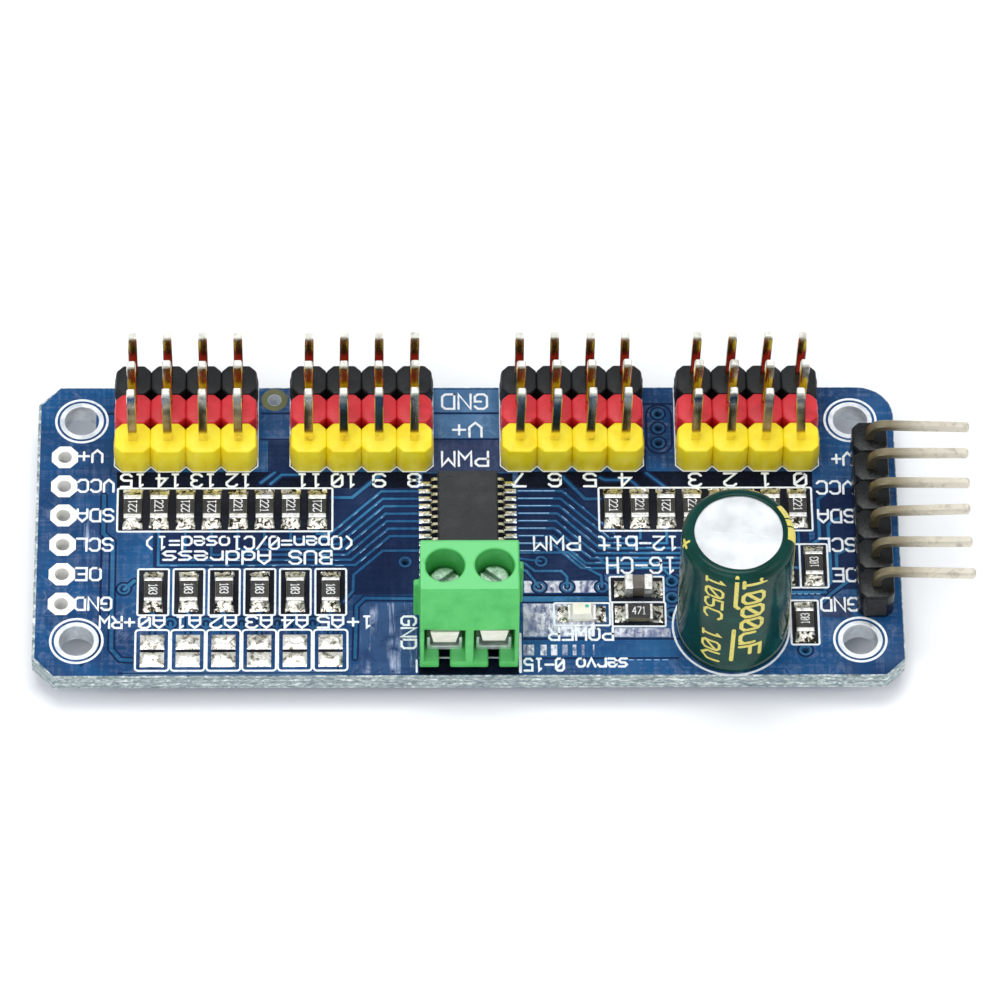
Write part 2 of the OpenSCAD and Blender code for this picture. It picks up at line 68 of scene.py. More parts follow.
BOARD_LOW, BOARD_HIGH = box_mm("board")
TOP = BOARD_HIGH.z
HALF_W = (BOARD_HIGH.x - BOARD_LOW.x) / 2
HALF_D = (BOARD_HIGH.y - BOARD_LOW.y) / 2
TAIL_Z = box_mm("signal_pins_1")[0].z
GROUPS = (1, 2, 3, 4)
PER_GROUP = 4
HOUSING_LOW, HOUSING_HIGH = box_mm("signal_housing_1")
PITCH = (HOUSING_HIGH.x - HOUSING_LOW.x) / PER_GROUP
HOUSING_TOP = HOUSING_HIGH.z
PIN_TOP = box_mm("signal_pins_1")[1].z
ROW_Y = {row: centre_mm(row + "_housing_1").y for row in ("signal", "power", "ground")}
GROUP_X = {g: box_mm("signal_housing_" + str(g))[0].x for g in GROUPS}
CONTROL_LOW, CONTROL_HIGH = box_mm("control_header_housing")
CONTROL_X = (CONTROL_LOW.x + CONTROL_HIGH.x) / 2
CONTROL_Y = [CONTROL_LOW.y + PITCH * (i + 0.5) for i in range(6)]
CONTROL_TIP = box_mm("control_header_pins")[1].x
CHIP_LOW, CHIP_HIGH = box_mm("driver_chip_body")
CHIP = (CHIP_LOW + CHIP_HIGH) / 2
LEAD_LOW, LEAD_HIGH = box_mm("driver_chip_leads")
CAP_LOW, CAP_HIGH = box_mm("capacitor_sleeve")
CAP = (CAP_LOW + CAP_HIGH) / 2
CAP_R = (CAP_HIGH.x - CAP_LOW.x) / 2
_, RING_HIGH = box_mm("mounting_hole_plating")
RING_R = 1.6
MOUNT_X = RING_HIGH.x - RING_R
MOUNT_Y = RING_HIGH.y - RING_R
MOUNT_PLACES = [(sx * MOUNT_X, sy * MOUNT_Y) for sx in (-1, 1) for sy in (-1, 1)]

# ---- Fixed sizes ----

LEFT_CHAMFER = 1.55
FRONT_RIGHT_CHAMFER = 1.35
BACK_RIGHT_RADIUS = 2.6
MOUNT_HOLE_R = 1.25
PIN_HALF = 0.32
CELL_CUT = 0.5
SMD_LENGTH = 2.0
SMD_WIDTH = 1.29
RESISTOR_H = 0.5
# How far the end caps reach over the top, by group of resistors
SERIES_REACH, PULL_REACH, LAMP_REACH = 0.38, 0.31, 0.24
BYPASS_H = 1.1
SERIES_PITCH = 1.9
SERIES_Y = 1.78
ADDRESS_X = [-22.54 + PITCH * i for i in range(6)]
SERIES_X = [s * 17.33 + SERIES_PITCH * (i - 3.5) - 0.14 for s in (-1, 1) for i in range(8)]
ADDRESS_Y = -5.37
JUMPER_Y = -10.37
JUMPER_STEP = 1.48
BUS_PLACES = [(22.75, -3.2), (24.85, -3.2), (24.03, -8.06)]
LAMP_RESISTOR = (12.19, -7.33)
BYPASS = (12.19, -5.2)
LAMP = (8.1, -7.33)
VIAS = [(13.95, 7.55 + 1.29 * i) for i in range(3)]
VIAS += [(14.6, -4.5 - 1.4 * i) for i in range(3)]
VIAS += [(-21.27 + PITCH * i, -8.0) for i in range(5)]
VIAS += [(-4.5, -2.8), (5.26, -2.76), (5.1, -4.98), (7.1, -4.98), (9.6, -5.0)]
VIAS += [(-24.64, -5.08), (24.0, -10.39)]
TOOLING = (-13.96, 11.4)
TOOLING_R = 0.5
VIA_OPEN = 0.25
VIA_MARGIN = 0.3
TERMINAL_LEADS = [(-1.75, -8.9), (1.75, -8.9)]
CAP_LEADS = [(CAP.x - 1.75, CAP.y), (CAP.x + 1.75, CAP.y)]

# Heights of the thin layers on the board, above its top
POUR_T = 0.03
BARE_Z = 0.003
GAP_Z = 0.008
TRACK_Z = 0.02
SILK_Z = 0.035
BED = 0.02
# Step between overlapping bands of one layer, so that no two of their faces coincide
LAYER_STEP = 0.0002


# ---- Shapes ----

class Build:
    """Closed shells in millimetres that together make one piece."""

    def __init__(self):
        self.verts = []
        self.faces = []
        self.slots = []
        self.bands = 0

    def add(self, verts, faces, slot=0):
        base = len(self.verts)
        self.verts.extend(verts)
        for face in faces:
            self.faces.append([base + i for i in face])
            self.slots.append(slot)

    def make(self, name, finishes, slot, stands_for=(), smooth=None):
        """Links the piece to the board's body; shading is smooth below an angle in degrees."""
        mesh = bpy.data.meshes.new(name)
        mesh.from_pydata([(x * MM, y * MM, z * MM) for x, y, z in self.verts], [], self.faces)
        for finish in finishes:
            mesh.materials.append(finish)
        for polygon, index in zip(mesh.polygons, self.slots):
            polygon.material_index = index
        shell = bmesh.new()
        shell.from_mesh(mesh)
        bmesh.ops.recalc_face_normals(shell, faces=shell.faces)
        shell.to_mesh(mesh)
        shell.free()
        if smooth is not None:
            for polygon in mesh.polygons:
                polygon.use_smooth = True
            mesh.set_sharp_from_angle(angle=math.radians(smooth))
        piece = bpy.data.objects.new(name, mesh)
        bpy.context.scene.collection.objects.link(piece)
        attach(piece, "board_body")
        if stands_for:
            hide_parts(*stands_for)
        return piece


def lift(outline, z):
    return [(x, y, z) for x, y in outline]


def loft(build, rings, slot=0, closed=False):
    """Skin over rings of equal length, with flat ends unless it closes on itself."""
    count = len(rings[0])
    total = len(rings)
    faces = []
    for k in range(total if closed else total - 1):
        this, following = k * count, (k + 1) % total * count
        for i in range(count):
            j = (i + 1) % count
            faces.append((this + i, this + j, following + j, following + i))
    if not closed:
        faces.append(tuple(reversed(range(count))))
        faces.append(tuple(range((total - 1) * count, total * count)))
    build.add([point for ring in rings for point in ring], faces, slot)


def circle(x, y, radius, steps=24):
    turn = 2 * math.pi / steps
    return [(x + radius * math.cos(turn * i), y + radius * math.sin(turn * i)) for i in range(steps)]


def rectangle(x0, y0, x1, y1):
    return [(x0, y0), (x1, y0), (x1, y1), (x0, y1)]


def octagon(x, y, half_x, half_y, cut):
    return [(x - half_x, y - half_y + cut), (x - half_x + cut, y - half_y),
            (x + half_x - cut, y - half_y), (x + half_x, y - half_y + cut),
            (x + half_x, y + half_y - cut), (x + half_x - cut, y + half_y),
            (x - half_x + cut, y + half_y), (x - half_x, y + half_y - cut)]


def rounded(x0, y0, x1, y1, radius, steps=4):
    """Rectangle with rounded corners, counter-clockwise."""
    points = []
    corners = [(x1 - radius, y0 + radius, -90), (x1 - radius, y1 - radius, 0),
               (x0 + radius, y1 - radius, 90), (x0 + radius, y0 + radius, 180)]
    for cx, cy, start in corners:
        for k in range(steps + 1):
            angle = math.radians(start + 90 * k / steps)
            points.append((cx + radius * math.cos(angle), cy + radius * math.sin(angle)))
    return points


def unit(a, b):
    length = math.hypot(b[0] - a[0], b[1] - a[1])
    return (b[0] - a[0]) / length, (b[1] - a[1]) / length


def inset(outline, distance):
    """Counter-clockwise outline moved inwards by a distance."""
    moved = []
    count = len(outline)
    for i in range(count):
        before = unit(outline[i - 1], outline[i])
        after = unit(outline[i], outline[(i + 1) % count])
        nx, ny = -before[1] - after[1], before[0] + after[0]
        size = math.hypot(nx, ny)
        nx, ny = nx / size, ny / size
        reach = distance / max(0.3, -before[1] * nx + before[0] * ny)
        moved.append((outline[i][0] + nx * reach, outline[i][1] + ny * reach))
    return moved


def softened(outline, reach):
    """Outline whose corners are each cut by a short chord."""
    made = []
    for i, corner in enumerate(outline):
        for other in (outline[i - 1], outline[(i + 1) % len(outline)]):
            dx, dy = unit(corner, other)
            made.append((corner[0] + dx * reach, corner[1] + dy * reach))
    return made


def slab(build, outline, low, high, edge=0.1, slot=0, foot=0.0):
    """Upright prism whose top edge, and foot if asked, is rounded off."""
    rings = []
    if foot:
        rings.append(lift(inset(outline, foot), low))
        rings.append(lift(inset(outline, foot * 0.3), low + foot * 0.3))
        rings.append(lift(outline, low + foot))
    else:
        rings.append(lift(outline, low))
    rings.append(lift(outline, high - edge))
    rings.append(lift(inset(outline, edge * 0.13), high - edge * 0.5))
    rings.append(lift(inset(outline, edge * 0.5), high - edge * 0.13))
    rings.append(lift(inset(outline, edge), high))
    loft(build, rings, slot)


def plate(build, outline, low, high, holes=(), slot=0):
    """Flat sheet with holes through it."""
    loops = [outline, *holes]
    flat = [point for loop in loops for point in loop]
    size = len(flat)
    faces = []
    for a, b, c in tessellate_polygon([[Vector((x, y, 0)) for x, y in loop] for loop in loops]):
        faces.append((a, c, b))
        faces.append((size + a, size + b, size + c))
    start = 0
    for loop in loops:
        count = len(loop)
        for i in range(count):
            a, b = start + i, start + (i + 1) % count
            faces.append((a, b, size + b, size + a))
        start += count
    build.add(lift(flat, low) + lift(flat, high), faces, slot)


def turned(build, x, y, profile, steps=32, slot=0, ring=False):
    """Revolved solid from (radius, z) pairs; a ring's profile closes on itself."""
    rings = [lift(circle(x, y, radius, steps), z) for radius, z in profile]
    loft(build, rings, slot, closed=ring)


def strip(build, points, width, low, high, slot=0, slope=0.0, closed=False, place=None):
    """Band along a line on the board, with round ends and sloping sides."""
    half = width / 2
    high += LAYER_STEP * (build.bands % 10)
    build.bands += 1
    count = len(points)
    spans = [unit(points[i], points[(i + 1) % count]) for i in range(count if closed else count - 1)]
    sections = []

    def section(x, y, direction, along, wide, mitre=1.0):
        tx, ty = direction
        rows = []
        for z, less in ((low, 0.0), (high, slope)):
            reach = along * max(half - less, 0.01)
            spread = mitre * wide * max(half - less, 0.01)
            cx, cy = x + tx * reach, y + ty * reach
            rows.append([(cx - ty * spread, cy + tx * spread, z), (cx + ty * spread, cy - tx * spread, z)])
        sections.append([rows[0][0], rows[0][1], rows[1][1], rows[1][0]])

    rounding = (80, 50, 25)
    if not closed:
        for angle in rounding:
            a = math.radians(angle)
            section(*points[0], spans[0], -math.sin(a), math.cos(a))
    for i, (x, y) in enumerate(points):
        before = spans[i - 1] if closed or i else spans[0]
        after = spans[i] if i < len(spans) else spans[-1]
        tx, ty = before[0] + after[0], before[1] + after[1]
        size = math.hypot(tx, ty) or 1.0
        tx, ty = tx / size, ty / size
        section(x, y, (tx, ty), 0.0, 1.0, 1 / max(0.5, tx * before[0] + ty * before[1]))
    if not closed:
        for angle in reversed(rounding):
            a = math.radians(angle)
            section(*points[-1], spans[-1], math.sin(a), math.cos(a))
    if place:
        sections = [[place(*point) for point in ring] for ring in sections]
    loft(build, sections, slot, closed=closed)


def bar_ring(x, y, z, half_x, half_y, cut):
    return lift(octagon(x, y, half_x, half_y, cut), z)


def rounded_path(points, radius, steps=5):
    """Open path whose corners are replaced by arcs."""
    made = [points[0]]
    for i in range(1, len(points) - 1):
        before = unit(points[i], points[i - 1])
        after = unit(points[i], points[i + 1])
        start = (points[i][0] + before[0] * radius, points[i][1] + before[1] * radius)
        end = (points[i][0] + after[0] * radius, points[i][1] + after[1] * radius)
        for k in range(steps + 1):
            t = k / steps
            a, b, c = (1 - t) ** 2, 2 * t * (1 - t), t * t
            made.append(tuple(a * start[n] + b * points[i][n] + c * end[n] for n in (0, 1)))
    made.append(points[-1])
    return made


def bent_bar(build, path, y, half_y, half_t, cut, tips=(1.0, 1.0), sway=None):
    """Bar of rectangular section along a path in the XZ plane. Its ends may be narrowed."""
    rings = []
    count = len(path)
    for i, (x, z) in enumerate(path):
        before = unit(path[max(i - 1, 0)], path[max(i, 1)])
        after = unit(path[min(i, count - 2)], path[min(i + 1, count - 1)])
        tx, tz = before[0] + after[0], before[1] + after[1]
        size = math.hypot(tx, tz)
        tx, tz = tx / size, tz / size
        mitre = 1 / max(0.6, tx * before[0] + tz * before[1])
        scale = tips[0] if i == 0 else tips[1] if i == count - 1 else 1.0
        ring = []
        shift = sway(x) if sway else 0.0
        for u, v in octagon(0, 0, half_t * scale, half_y * scale, cut * scale):
            ring.append((x - tz * u * mitre, y + v + shift, z + tx * u * mitre))
        rings.append(ring)
    loft(build, rings)


def grid_shell(build, front, back, columns, rows, slot):
    """Closed shell between two grids of points that are listed row by row."""
    row = columns + 1
    size = row * (rows + 1)
    faces = []
    for j in range(rows):
        for i in range(columns):
            a = j * row + i
            faces.append((a, a + 1, a + row + 1, a + row))
            faces.append((size + a, size + a + row, size + a + row + 1, size + a + 1))
    rim = list(range(columns)) + [j * row + columns for j in range(rows)]
    rim += [rows * row + i for i in range(columns, 0, -1)] + [j * row for j in range(rows, 0, -1)]
    for k, a in enumerate(rim):
        b = rim[(k + 1) % len(rim)]
        faces.append((a, size + a, size + b, b))
    build.add(front + back, faces, slot)


def mound(build, x0, y0, x1, y1, low, height, across=10, along=10):
    """Closed patch whose top follows height(u, v), with u and v from 0 to 1."""
    top, bottom = [], []
    for j in range(along + 1):
        for i in range(across + 1):
            u, v = i / across, j / along
            x, y = x0 + (x1 - x0) * u, y0 + (y1 - y0) * v
            top.append((x, y, low + max(0.012, height(u, v))))
            bottom.append((x, y, low - BED))
    grid_shell(build, top, bottom, across, along, 0)


def turn(points, x, y, quarter):
    """Points turned by a quarter about (x, y) if asked."""
    if not quarter:
        return points
    return [(x - (p[1] - y), y + (p[0] - x), *p[2:]) for p in points]


# ---- Lettering: single-stroke characters on a grid 4 wide; baseline 2, capitals to 8 ----

GLYPHS = {
    "0": ("12 03 07 18 38 47 43 32 12", "03 47"), "1": ("17 28 22", "12 32"),
    "2": ("07 18 38 47 46 02 42",), "3": ("07 18 38 47 46 35 25", "35 44 43 32 12 03"),
    "4": ("38 32", "38 04 44"), "5": ("48 08 05 35 44 43 32 12 03",),
    "6": ("47 38 18 07 03 12 32 43 44 35 15 04",), "7": ("08 48 47 12",),
    "8": ("15 06 07 18 38 47 46 35 15 04 03 12 32 43 44 35",),
    "9": ("03 12 32 43 47 38 18 07 06 15 35 46",), "A": ("02 06 28 46 42", "04 44"),
    "B": ("02 08 38 47 46 35 05", "35 44 43 32 02"), "C": ("47 38 18 07 03 12 32 43",),
    "D": ("02 08 38 47 43 32 02",), "E": ("48 08 02 42", "05 35"), "F": ("02 08 48", "05 35"),
    "G": ("47 38 18 07 03 12 32 43 45 25",), "H": ("08 02", "48 42", "05 45"),
    "I": ("18 38", "28 22", "12 32"), "L": ("08 02 42",), "M": ("02 08 25 48 42",),
    "N": ("02 08 42 48",), "O": ("12 03 07 18 38 47 43 32 12",),
    "P": ("02 08 38 47 46 35 05",), "R": ("02 08 38 47 46 35 05", "25 42"),
    "S": ("47 38 18 07 06 15 35 44 43 32 12 03",), "U": ("08 03 12 32 43 48",),
    "V": ("08 04 22 44 48",), "W": ("08 02 25 42 48",), "+": ("05 45", "23 27"),
    "-": ("05 45",), "=": ("04 44", "06 46"), "/": ("02 48",), "(": ("38 16 14 32",),
    ")": ("18 36 34 12",), "o": ("12 03 05 16 36 45 43 32 12",),
    "p": ("00 06", "05 16 36 45 43 32 12 03"), "e": ("04 44 45 36 16 05 03 12 42",),
    "n": ("02 06", "05 16 36 45 42"), "l": ("18 28 22", "12 32"),
    "s": ("46 16 05 14 34 43 32 02",), "d": ("48 42", "45 36 16 05 03 12 32 43"),
    "r": ("02 06", "05 16 36 45"), "b": ("08 02", "05 16 36 45 43 32 12 03"),
    "i": ("16 26 22", "12 32", "28 27"), "t": ("28 23 32 42", "06 46"),
    "u": ("06 03 12 32 43", "46 42"), "v": ("06 22 46",), "c": ("46 16 05 03 12 42",),
}
ADVANCE = 5.4


def divided(points, reach):
    """The same path with extra points, so that it can follow a curved surface."""
    made = []
    for a, b in zip(points, points[1:]):
        pieces = max(1, round(math.hypot(b[0] - a[0], b[1] - a[1]) / reach))
        made += [(a[0] + (b[0] - a[0]) * k / pieces, a[1] + (b[1] - a[1]) * k / pieces)
                 for k in range(pieces)]
    return made + [points[-1]]


def write(build, text, along, across, stroke, low, high, upright=True, slot=0, place=None):
    """Text between two positions along its line, and from its baseline to its capitals' tops."""
    start, end = along
    base, top = across
    reach = (end - start) / ((len(text) - 1) * ADVANCE + 4)
    rise = (top - base) / 6
    for index, character in enumerate(text):
        for run in GLYPHS.get(character, ()):
            points = []
            for pair in run.split():
                a = start + (index * ADVANCE + int(pair[0])) * reach
                b = base + (int(pair[1]) - 2) * rise
                points.append((a, b) if upright else (b, a))
            if place:
                points = divided(points, 0.3)
            strip(build, points, stroke, low, high, slot, place=place)


# ---- Finishes ----

SOCKETS = {"rough": "Roughness", "metal": "Metallic", "coat": "Coat Weight",
           "coat_rough": "Coat Roughness", "ior": "IOR", "soft": "Subsurface Weight",
           "specular": "Specular IOR Level"}


def tone(code):
    """Linear colour from an sRGB code such as 1b6aa8."""
    parts = [int(code[i:i + 2], 16) / 255 for i in (0, 2, 4)]
    return tuple(c / 12.92 if c <= 0.04045 else ((c + 0.055) / 1.055) ** 2.4 for c in parts) + (1.0,)


class Finish:
    """A procedural material, built node by node in the frame's own coordinates."""

    def __init__(self, name, **sockets):
        self.material = bpy.data.materials.new(name)
        self.material.use_nodes = True
        self.nodes = self.material.node_tree.nodes
        self.links = self.material.node_tree.links
        self.shader = self.nodes["Principled BSDF"]
        for key, value in sockets.items():
            self.shader.inputs[SOCKETS[key]].default_value = value
        self.where = self.nodes.new("ShaderNodeTexCoord").outputs["Object"]

    def node(self, kind, inputs):
        """New node; each of its inputs is linked to a socket or set to a constant."""
        made = self.nodes.new("ShaderNode" + kind)
        for key, value in inputs.items():
            if isinstance(value, bpy.types.NodeSocket):
                self.links.new(value, made.inputs[key])
            else:
                made.inputs[key].default_value = value
        return made

    def stretch(self, x, y, z):
        return self.node("Mapping", {"Vector": self.where, "Scale": (x, y, z)}).outputs["Vector"]

    def noise(self, size, detail=3.0, rough=0.55, warp=0.0, where=None):
        inputs = {"Vector": where or self.where, "Scale": 1 / (size * MM), "Detail": detail,
                  "Roughness": rough, "Distortion": warp}
        return self.node("TexNoise", inputs).outputs["Fac"]

    def waves(self, size, axis="X", warp=0.0):
        made = self.node("TexWave", {"Vector": self.where, "Scale": 0.31416 / (size * MM),
                                     "Distortion": warp})
        made.bands_direction = axis
        return made.outputs["Fac"]

    def axis(self, name):
        return self.node("SeparateXYZ", {"Vector": self.where}).outputs[name]

    def facing_up(self):
        """1 on level surfaces that face up, 0 on upright ones."""
        normal = self.node("NewGeometry", {}).outputs["Normal"]
        return self.node("SeparateXYZ", {"Vector": normal}).outputs["Z"]

    def between(self, value, low, high, to_low=0.0, to_high=1.0):
        """Value carried over from one range to another, and held at its ends."""
        inputs = {"Value": value, "From Min": low, "From Max": high, "To Min": to_low,
                  "To Max": to_high}
        return self.node("MapRange", inputs).outputs["Result"]

    def maths(self, operation, a, b):
        made = self.node("Math", {0: a, 1: b})
        made.operation = operation
        return made.outputs[0]

    def ramp(self, factor, *stops):
        made = self.node("ValToRGB", {"Fac": factor})
        marks = made.color_ramp.elements
        while len(marks) < len(stops):
            marks.new(0.5)
        for mark, (position, colour) in zip(marks, stops):
            mark.position = position
            mark.color = tone(colour) if isinstance(colour, str) else (colour, colour, colour, 1.0)
        return made.outputs["Color"]

    def mix(self, factor, a, b):
        made = self.node("Mix", {"Factor": factor})
        made.data_type = "RGBA"
        for value, name in ((a, "A"), (b, "B")):
            socket = [s for s in made.inputs if s.name == name and s.type == "RGBA"][0]
            if isinstance(value, str):
                socket.default_value = tone(value)
            else:
                self.links.new(value, socket)
        return [s for s in made.outputs if s.type == "RGBA"][0]

    def colour(self, output):
        self.links.new(output, self.shader.inputs["Base Color"])

    def rough(self, factor, low, high):
        """Roughness that follows a noise, which mostly stays between 0.3 and 0.7."""
        self.links.new(self.between(factor, 0.3, 0.7, low, high), self.shader.inputs["Roughness"])

    def bump(self, height, depth, under=None):
        inputs = {"Height": height, "Distance": depth * MM}
        if under:
            inputs["Normal"] = under
        normal = self.node("Bump", inputs).outputs["Normal"]
        self.links.new(normal, self.shader.inputs["Normal"])
        return normal


def mask_finish(name, deep, usual, bright, glint, glint_share, rough=0.3):
    """Glossy solder mask over copper or laminate, with the glass weave faintly showing through; a haze and
    mottled glints of reflected light are painted into its colour, as far as glint_share allows.
    """
    f = Finish(name, rough=rough, specular=0.07)
    weave_x, weave_y = f.waves(0.5, "X", 1.2), f.waves(0.5, "Y", 1.2)
    weave = f.maths("MULTIPLY", weave_x, weave_y)
    broad = f.noise(9.0, 3.0, 0.6, 0.4)
    base = f.ramp(broad, (0.3, deep), (0.5, usual), (0.72, bright))
    # Painted haze: a greyish veil of reflected light
    painted_haze = f.maths("MULTIPLY", f.between(f.noise(2.6, 4.0, 0.65, 0.8), 0.42, 0.7), glint_share)
    base = f.mix(painted_haze, base, f.ramp(f.noise(5.0), (0.42, "26304e"), (0.6, "4a5f80")))
    # Painted glints of reflected light along the threads of the weave
    thread_glints = f.maths("ADD", f.noise(0.5, 3.0, 0.6, 0.0, f.stretch(0.1, 1.6, 1.0)),
                      f.noise(0.5, 3.0, 0.6, 0.0, f.stretch(1.6, 0.1, 1.0)))
    base = f.mix(f.maths("MULTIPLY", f.between(thread_glints, 1.0, 1.5), glint_share * 0.5), base, glint)
    # Painted glints of reflected light in cloudy patches
    cloudy = f.noise(1.1, 5.0, 0.7, 1.5)
    patch = f.noise(6.5, 2.0, 0.5)
    share = f.maths("MULTIPLY", f.between(cloudy, 0.52, 0.8), f.between(patch, 0.45, 0.62))
    share = f.maths("MULTIPLY", share, glint_share)
    f.colour(f.mix(share, base, glint))
    f.rough(cloudy, rough - 0.08, rough + 0.1)
    under = f.bump(weave, 0.006)
    f.bump(f.noise(0.35, 3.0, 0.6), 0.006, under)
    return f.material


def glinting_finish():
    """Copper pour with a pale, broken glare painted into its colour: a painted reflection of light thrown
    back by its uneven mask.
    """
    f = Finish("mask_glinting", rough=0.3, specular=0.3)
    broken = f.noise(0.5, 5.0, 0.72, 1.0)
    patch = f.noise(1.9, 3.0, 0.5, 0.6)
    lines = f.noise(0.4, 3.0, 0.6, 0.2, f.stretch(1.0, 0.25, 1.0))
    glare = f.ramp(f.maths("MULTIPLY", f.maths("ADD", broken, lines), 0.5),
                   (0.38, "46507a"), (0.47, "a3a7ba"), (0.55, "e6e6ec"))
    f.colour(f.mix(f.between(patch, 0.3, 0.5), "5f6c94", glare))
    f.rough(broken, 0.22, 0.42)
    f.bump(broken, 0.012)
    return f.material


def streaked_finish():
    """Copper pour with long pale streaks of glare painted into its colour."""
    f = Finish("mask_streaked", rough=0.3, specular=0.2)
    streaks = f.noise(0.45, 4.0, 0.65, 0.3, f.stretch(1.0, 0.1, 1.0))
    cloud = f.noise(1.6, 3.0, 0.6, 0.5)
    share = f.maths("MULTIPLY", f.between(streaks, 0.5, 0.68), f.between(cloud, 0.38, 0.6))
    f.colour(f.mix(share, f.ramp(cloud, (0.3, "1c3864"), (0.6, "2a4e7a")), "a9b3d0"))
    f.rough(cloud, 0.22, 0.4)
    f.bump(streaks, 0.008)
    return f.material


def laminate_finish():
    """Glass-fibre laminate: pale resin with rows of cut fibre bundles along its edges."""
    f = Finish("laminate", rough=0.55, ior=1.5, soft=0.1)
    f.shader.inputs["Subsurface Radius"].default_value = (0.0006, 0.0006, 0.0005)
    bundles = f.noise(0.34, 3.0, 0.6, 0.6, f.stretch(0.8, 0.8, 1.8))
    rows = f.waves(0.52, "Z", 0.8)
    body = f.ramp(bundles, (0.34, "5c6c72"), (0.46, "93a1a4"), (0.54, "a9b4b4"), (0.64, "e6ebe9"))
    fine = f.noise(0.12, 2.0, 0.6)
    f.colour(f.mix(f.between(f.maths("MULTIPLY", rows, fine), 0.2, 0.75), body, "6f8583"))
    f.rough(bundles, 0.45, 0.7)
    f.bump(f.noise(0.16, 4.0, 0.7, 0.5, f.stretch(0.6, 0.6, 1.6)), 0.03)
    return f.material


def ink_finish(name, usual, worn, gloss=0.5):
    """Screen-printed ink with slightly uneven cover; also the painted highlight colour of the track glints.
    """
    f = Finish(name, rough=gloss)
    grain = f.noise(0.28, 4.0, 0.65)
    f.colour(f.ramp(grain, (0.3, worn), (0.48, usual), (0.8, usual)))
    f.rough(grain, gloss - 0.1, gloss + 0.12)
    f.bump(grain, 0.008)
    return f.material


def solder_finish(name="solder", dull="8b8f92", bright="e9ebea", depth=0.035, size=0.42,
                  share=(0.36, 0.5)):
    """Solder: bright, with frozen ripples and duller, darker spots."""
    f = Finish(name, metal=0.9, rough=0.2)
    ripple = f.noise(size, 4.0, 0.6, 0.8)
    spots = f.noise(size * 1.2, 3.0, 0.6, 0.8)
    f.colour(f.ramp(spots, (share[0], dull), (share[1], bright), (0.75, "f8f7f2")))
    f.rough(ripple, 0.2, 0.4)
    f.bump(ripple, depth)
    return f.material


def plating_finish(name, dull, usual, bright, low=0.16, high=0.36, depth=0.004, size=0.5, metal=1.0):
    """Thin metal plating with soft stains and fine scratches."""
    f = Finish(name, metal=metal, rough=0.25)
    stains = f.noise(size, 4.0, 0.6, 0.4)
    f.colour(f.ramp(stains, (0.3, dull), (0.5, usual), (0.7, bright)))
    f.rough(f.noise(size * 0.4, 3.0, 0.6), low, high)
    f.bump(f.noise(size * 0.5, 4.0, 0.65), depth)
    return f.material


def pin_finish(name, foot, shank, tip, foot_z, tip_z, shank_rough=0.1, metal=1.0, axis="Z", housing_reflection=None):
    """Drawn square wire: mirror-like sides with draw lines, duller towards the cut tip.

    The lowest part takes a painted reflection of the housing's top, in the colour given for it.
    """
    f = Finish(name, metal=metal, rough=0.1)
    place = f.between(f.axis(axis), foot_z * MM, tip_z * MM)
    stretch = (6.0, 6.0, 0.5) if axis == "Z" else (0.5, 6.0, 6.0)
    lines = f.noise(0.5, 3.0, 0.6, 0.0, f.stretch(*stretch))
    # Painted reflection of the housing's top on the lowest part of the pin
    lowest = housing_reflection or foot
    along = f.ramp(place, (0.0, lowest), (0.15, lowest), (0.2, foot), (0.55, shank), (1.0, tip))
    stain = f.noise(0.6, 3.0, 0.6, 0.6)
    f.colour(f.mix(f.between(stain, 0.5, 0.9), along, "8d8474"))
    shine = f.ramp(place, (0.0, shank_rough), (0.9, shank_rough), (0.975, 0.5), (1.0, 0.55))
    f.rough(f.maths("ADD", f.maths("MULTIPLY", lines, 0.3), shine), shank_rough, 0.55)
    f.bump(lines, 0.004)
    return f.material


def plastic_finish(name, deep, usual, pale, rough=0.42, soft=0.0, grain=0.25, depth=0.008, top=None,
                   shine=0.5):
    """Moulded plastic: fine grain, slight mottling and paler rubbed spots; given top, up-facing surfaces
    take that colour as a painted highlight.
    """
    f = Finish(name, rough=rough, soft=soft, specular=shine)
    if soft:
        f.shader.inputs["Subsurface Radius"].default_value = (0.0008, 0.0008, 0.0008)
    mottle = f.noise(1.6, 4.0, 0.6, 0.3)
    base = f.ramp(mottle, (0.3, deep), (0.5, usual), (0.75, pale))
    specks = f.noise(0.22, 2.0, 0.5)
    base = f.mix(f.between(specks, 0.68, 0.85), base, pale)
    # Painted highlight: up-facing surfaces lighter, where the light falls
    if top:
        base = f.mix(f.between(f.facing_up(), 0.9, 1.0), base, top)
    f.colour(base)
    f.rough(f.noise(grain, 3.0, 0.6), rough - 0.1, rough + 0.1)
    f.bump(f.noise(grain, 4.0, 0.6), depth)
    return f.material


def torn_finish(name, usual, stressed):
    """Snapped plastic, whitened where it tore."""
    f = Finish(name, rough=0.7)
    torn = f.noise(0.4, 4.0, 0.7, 1.2)
    f.colour(f.ramp(torn, (0.42, usual), (0.64, stressed)))
    f.rough(torn, 0.6, 0.8)
    f.bump(torn, 0.08)
    return f.material


def can_finish():
    """Bare aluminium top of the capacitor: satin, with faint rolling lines."""
    f = Finish("can_aluminium", metal=0.55, rough=0.5)
    lines = f.noise(0.5, 3.0, 0.6, 0.0, f.stretch(0.35, 5.0, 1.0))
    f.colour(f.ramp(f.noise(2.2, 3.0, 0.5), (0.3, "c4c7c9"), (0.6, "e2e4e5")))
    f.rough(lines, 0.42, 0.6)
    f.bump(lines, 0.004)
    return f.material


def sleeve_finish():
    """Shrink sleeve: thin glossy green film with slight orange peel."""
    f = Finish("sleeve_film", rough=0.12, specular=0.12)
    f.colour(f.ramp(f.noise(2.5, 3.0, 0.5), (0.3, "082f28"), (0.55, "0e3b34"), (0.75, "154a40")))
    f.rough(f.noise(0.8, 3.0, 0.5), 0.1, 0.22)
    f.bump(f.noise(1.4, 3.0, 0.55), 0.012)
    return f.material


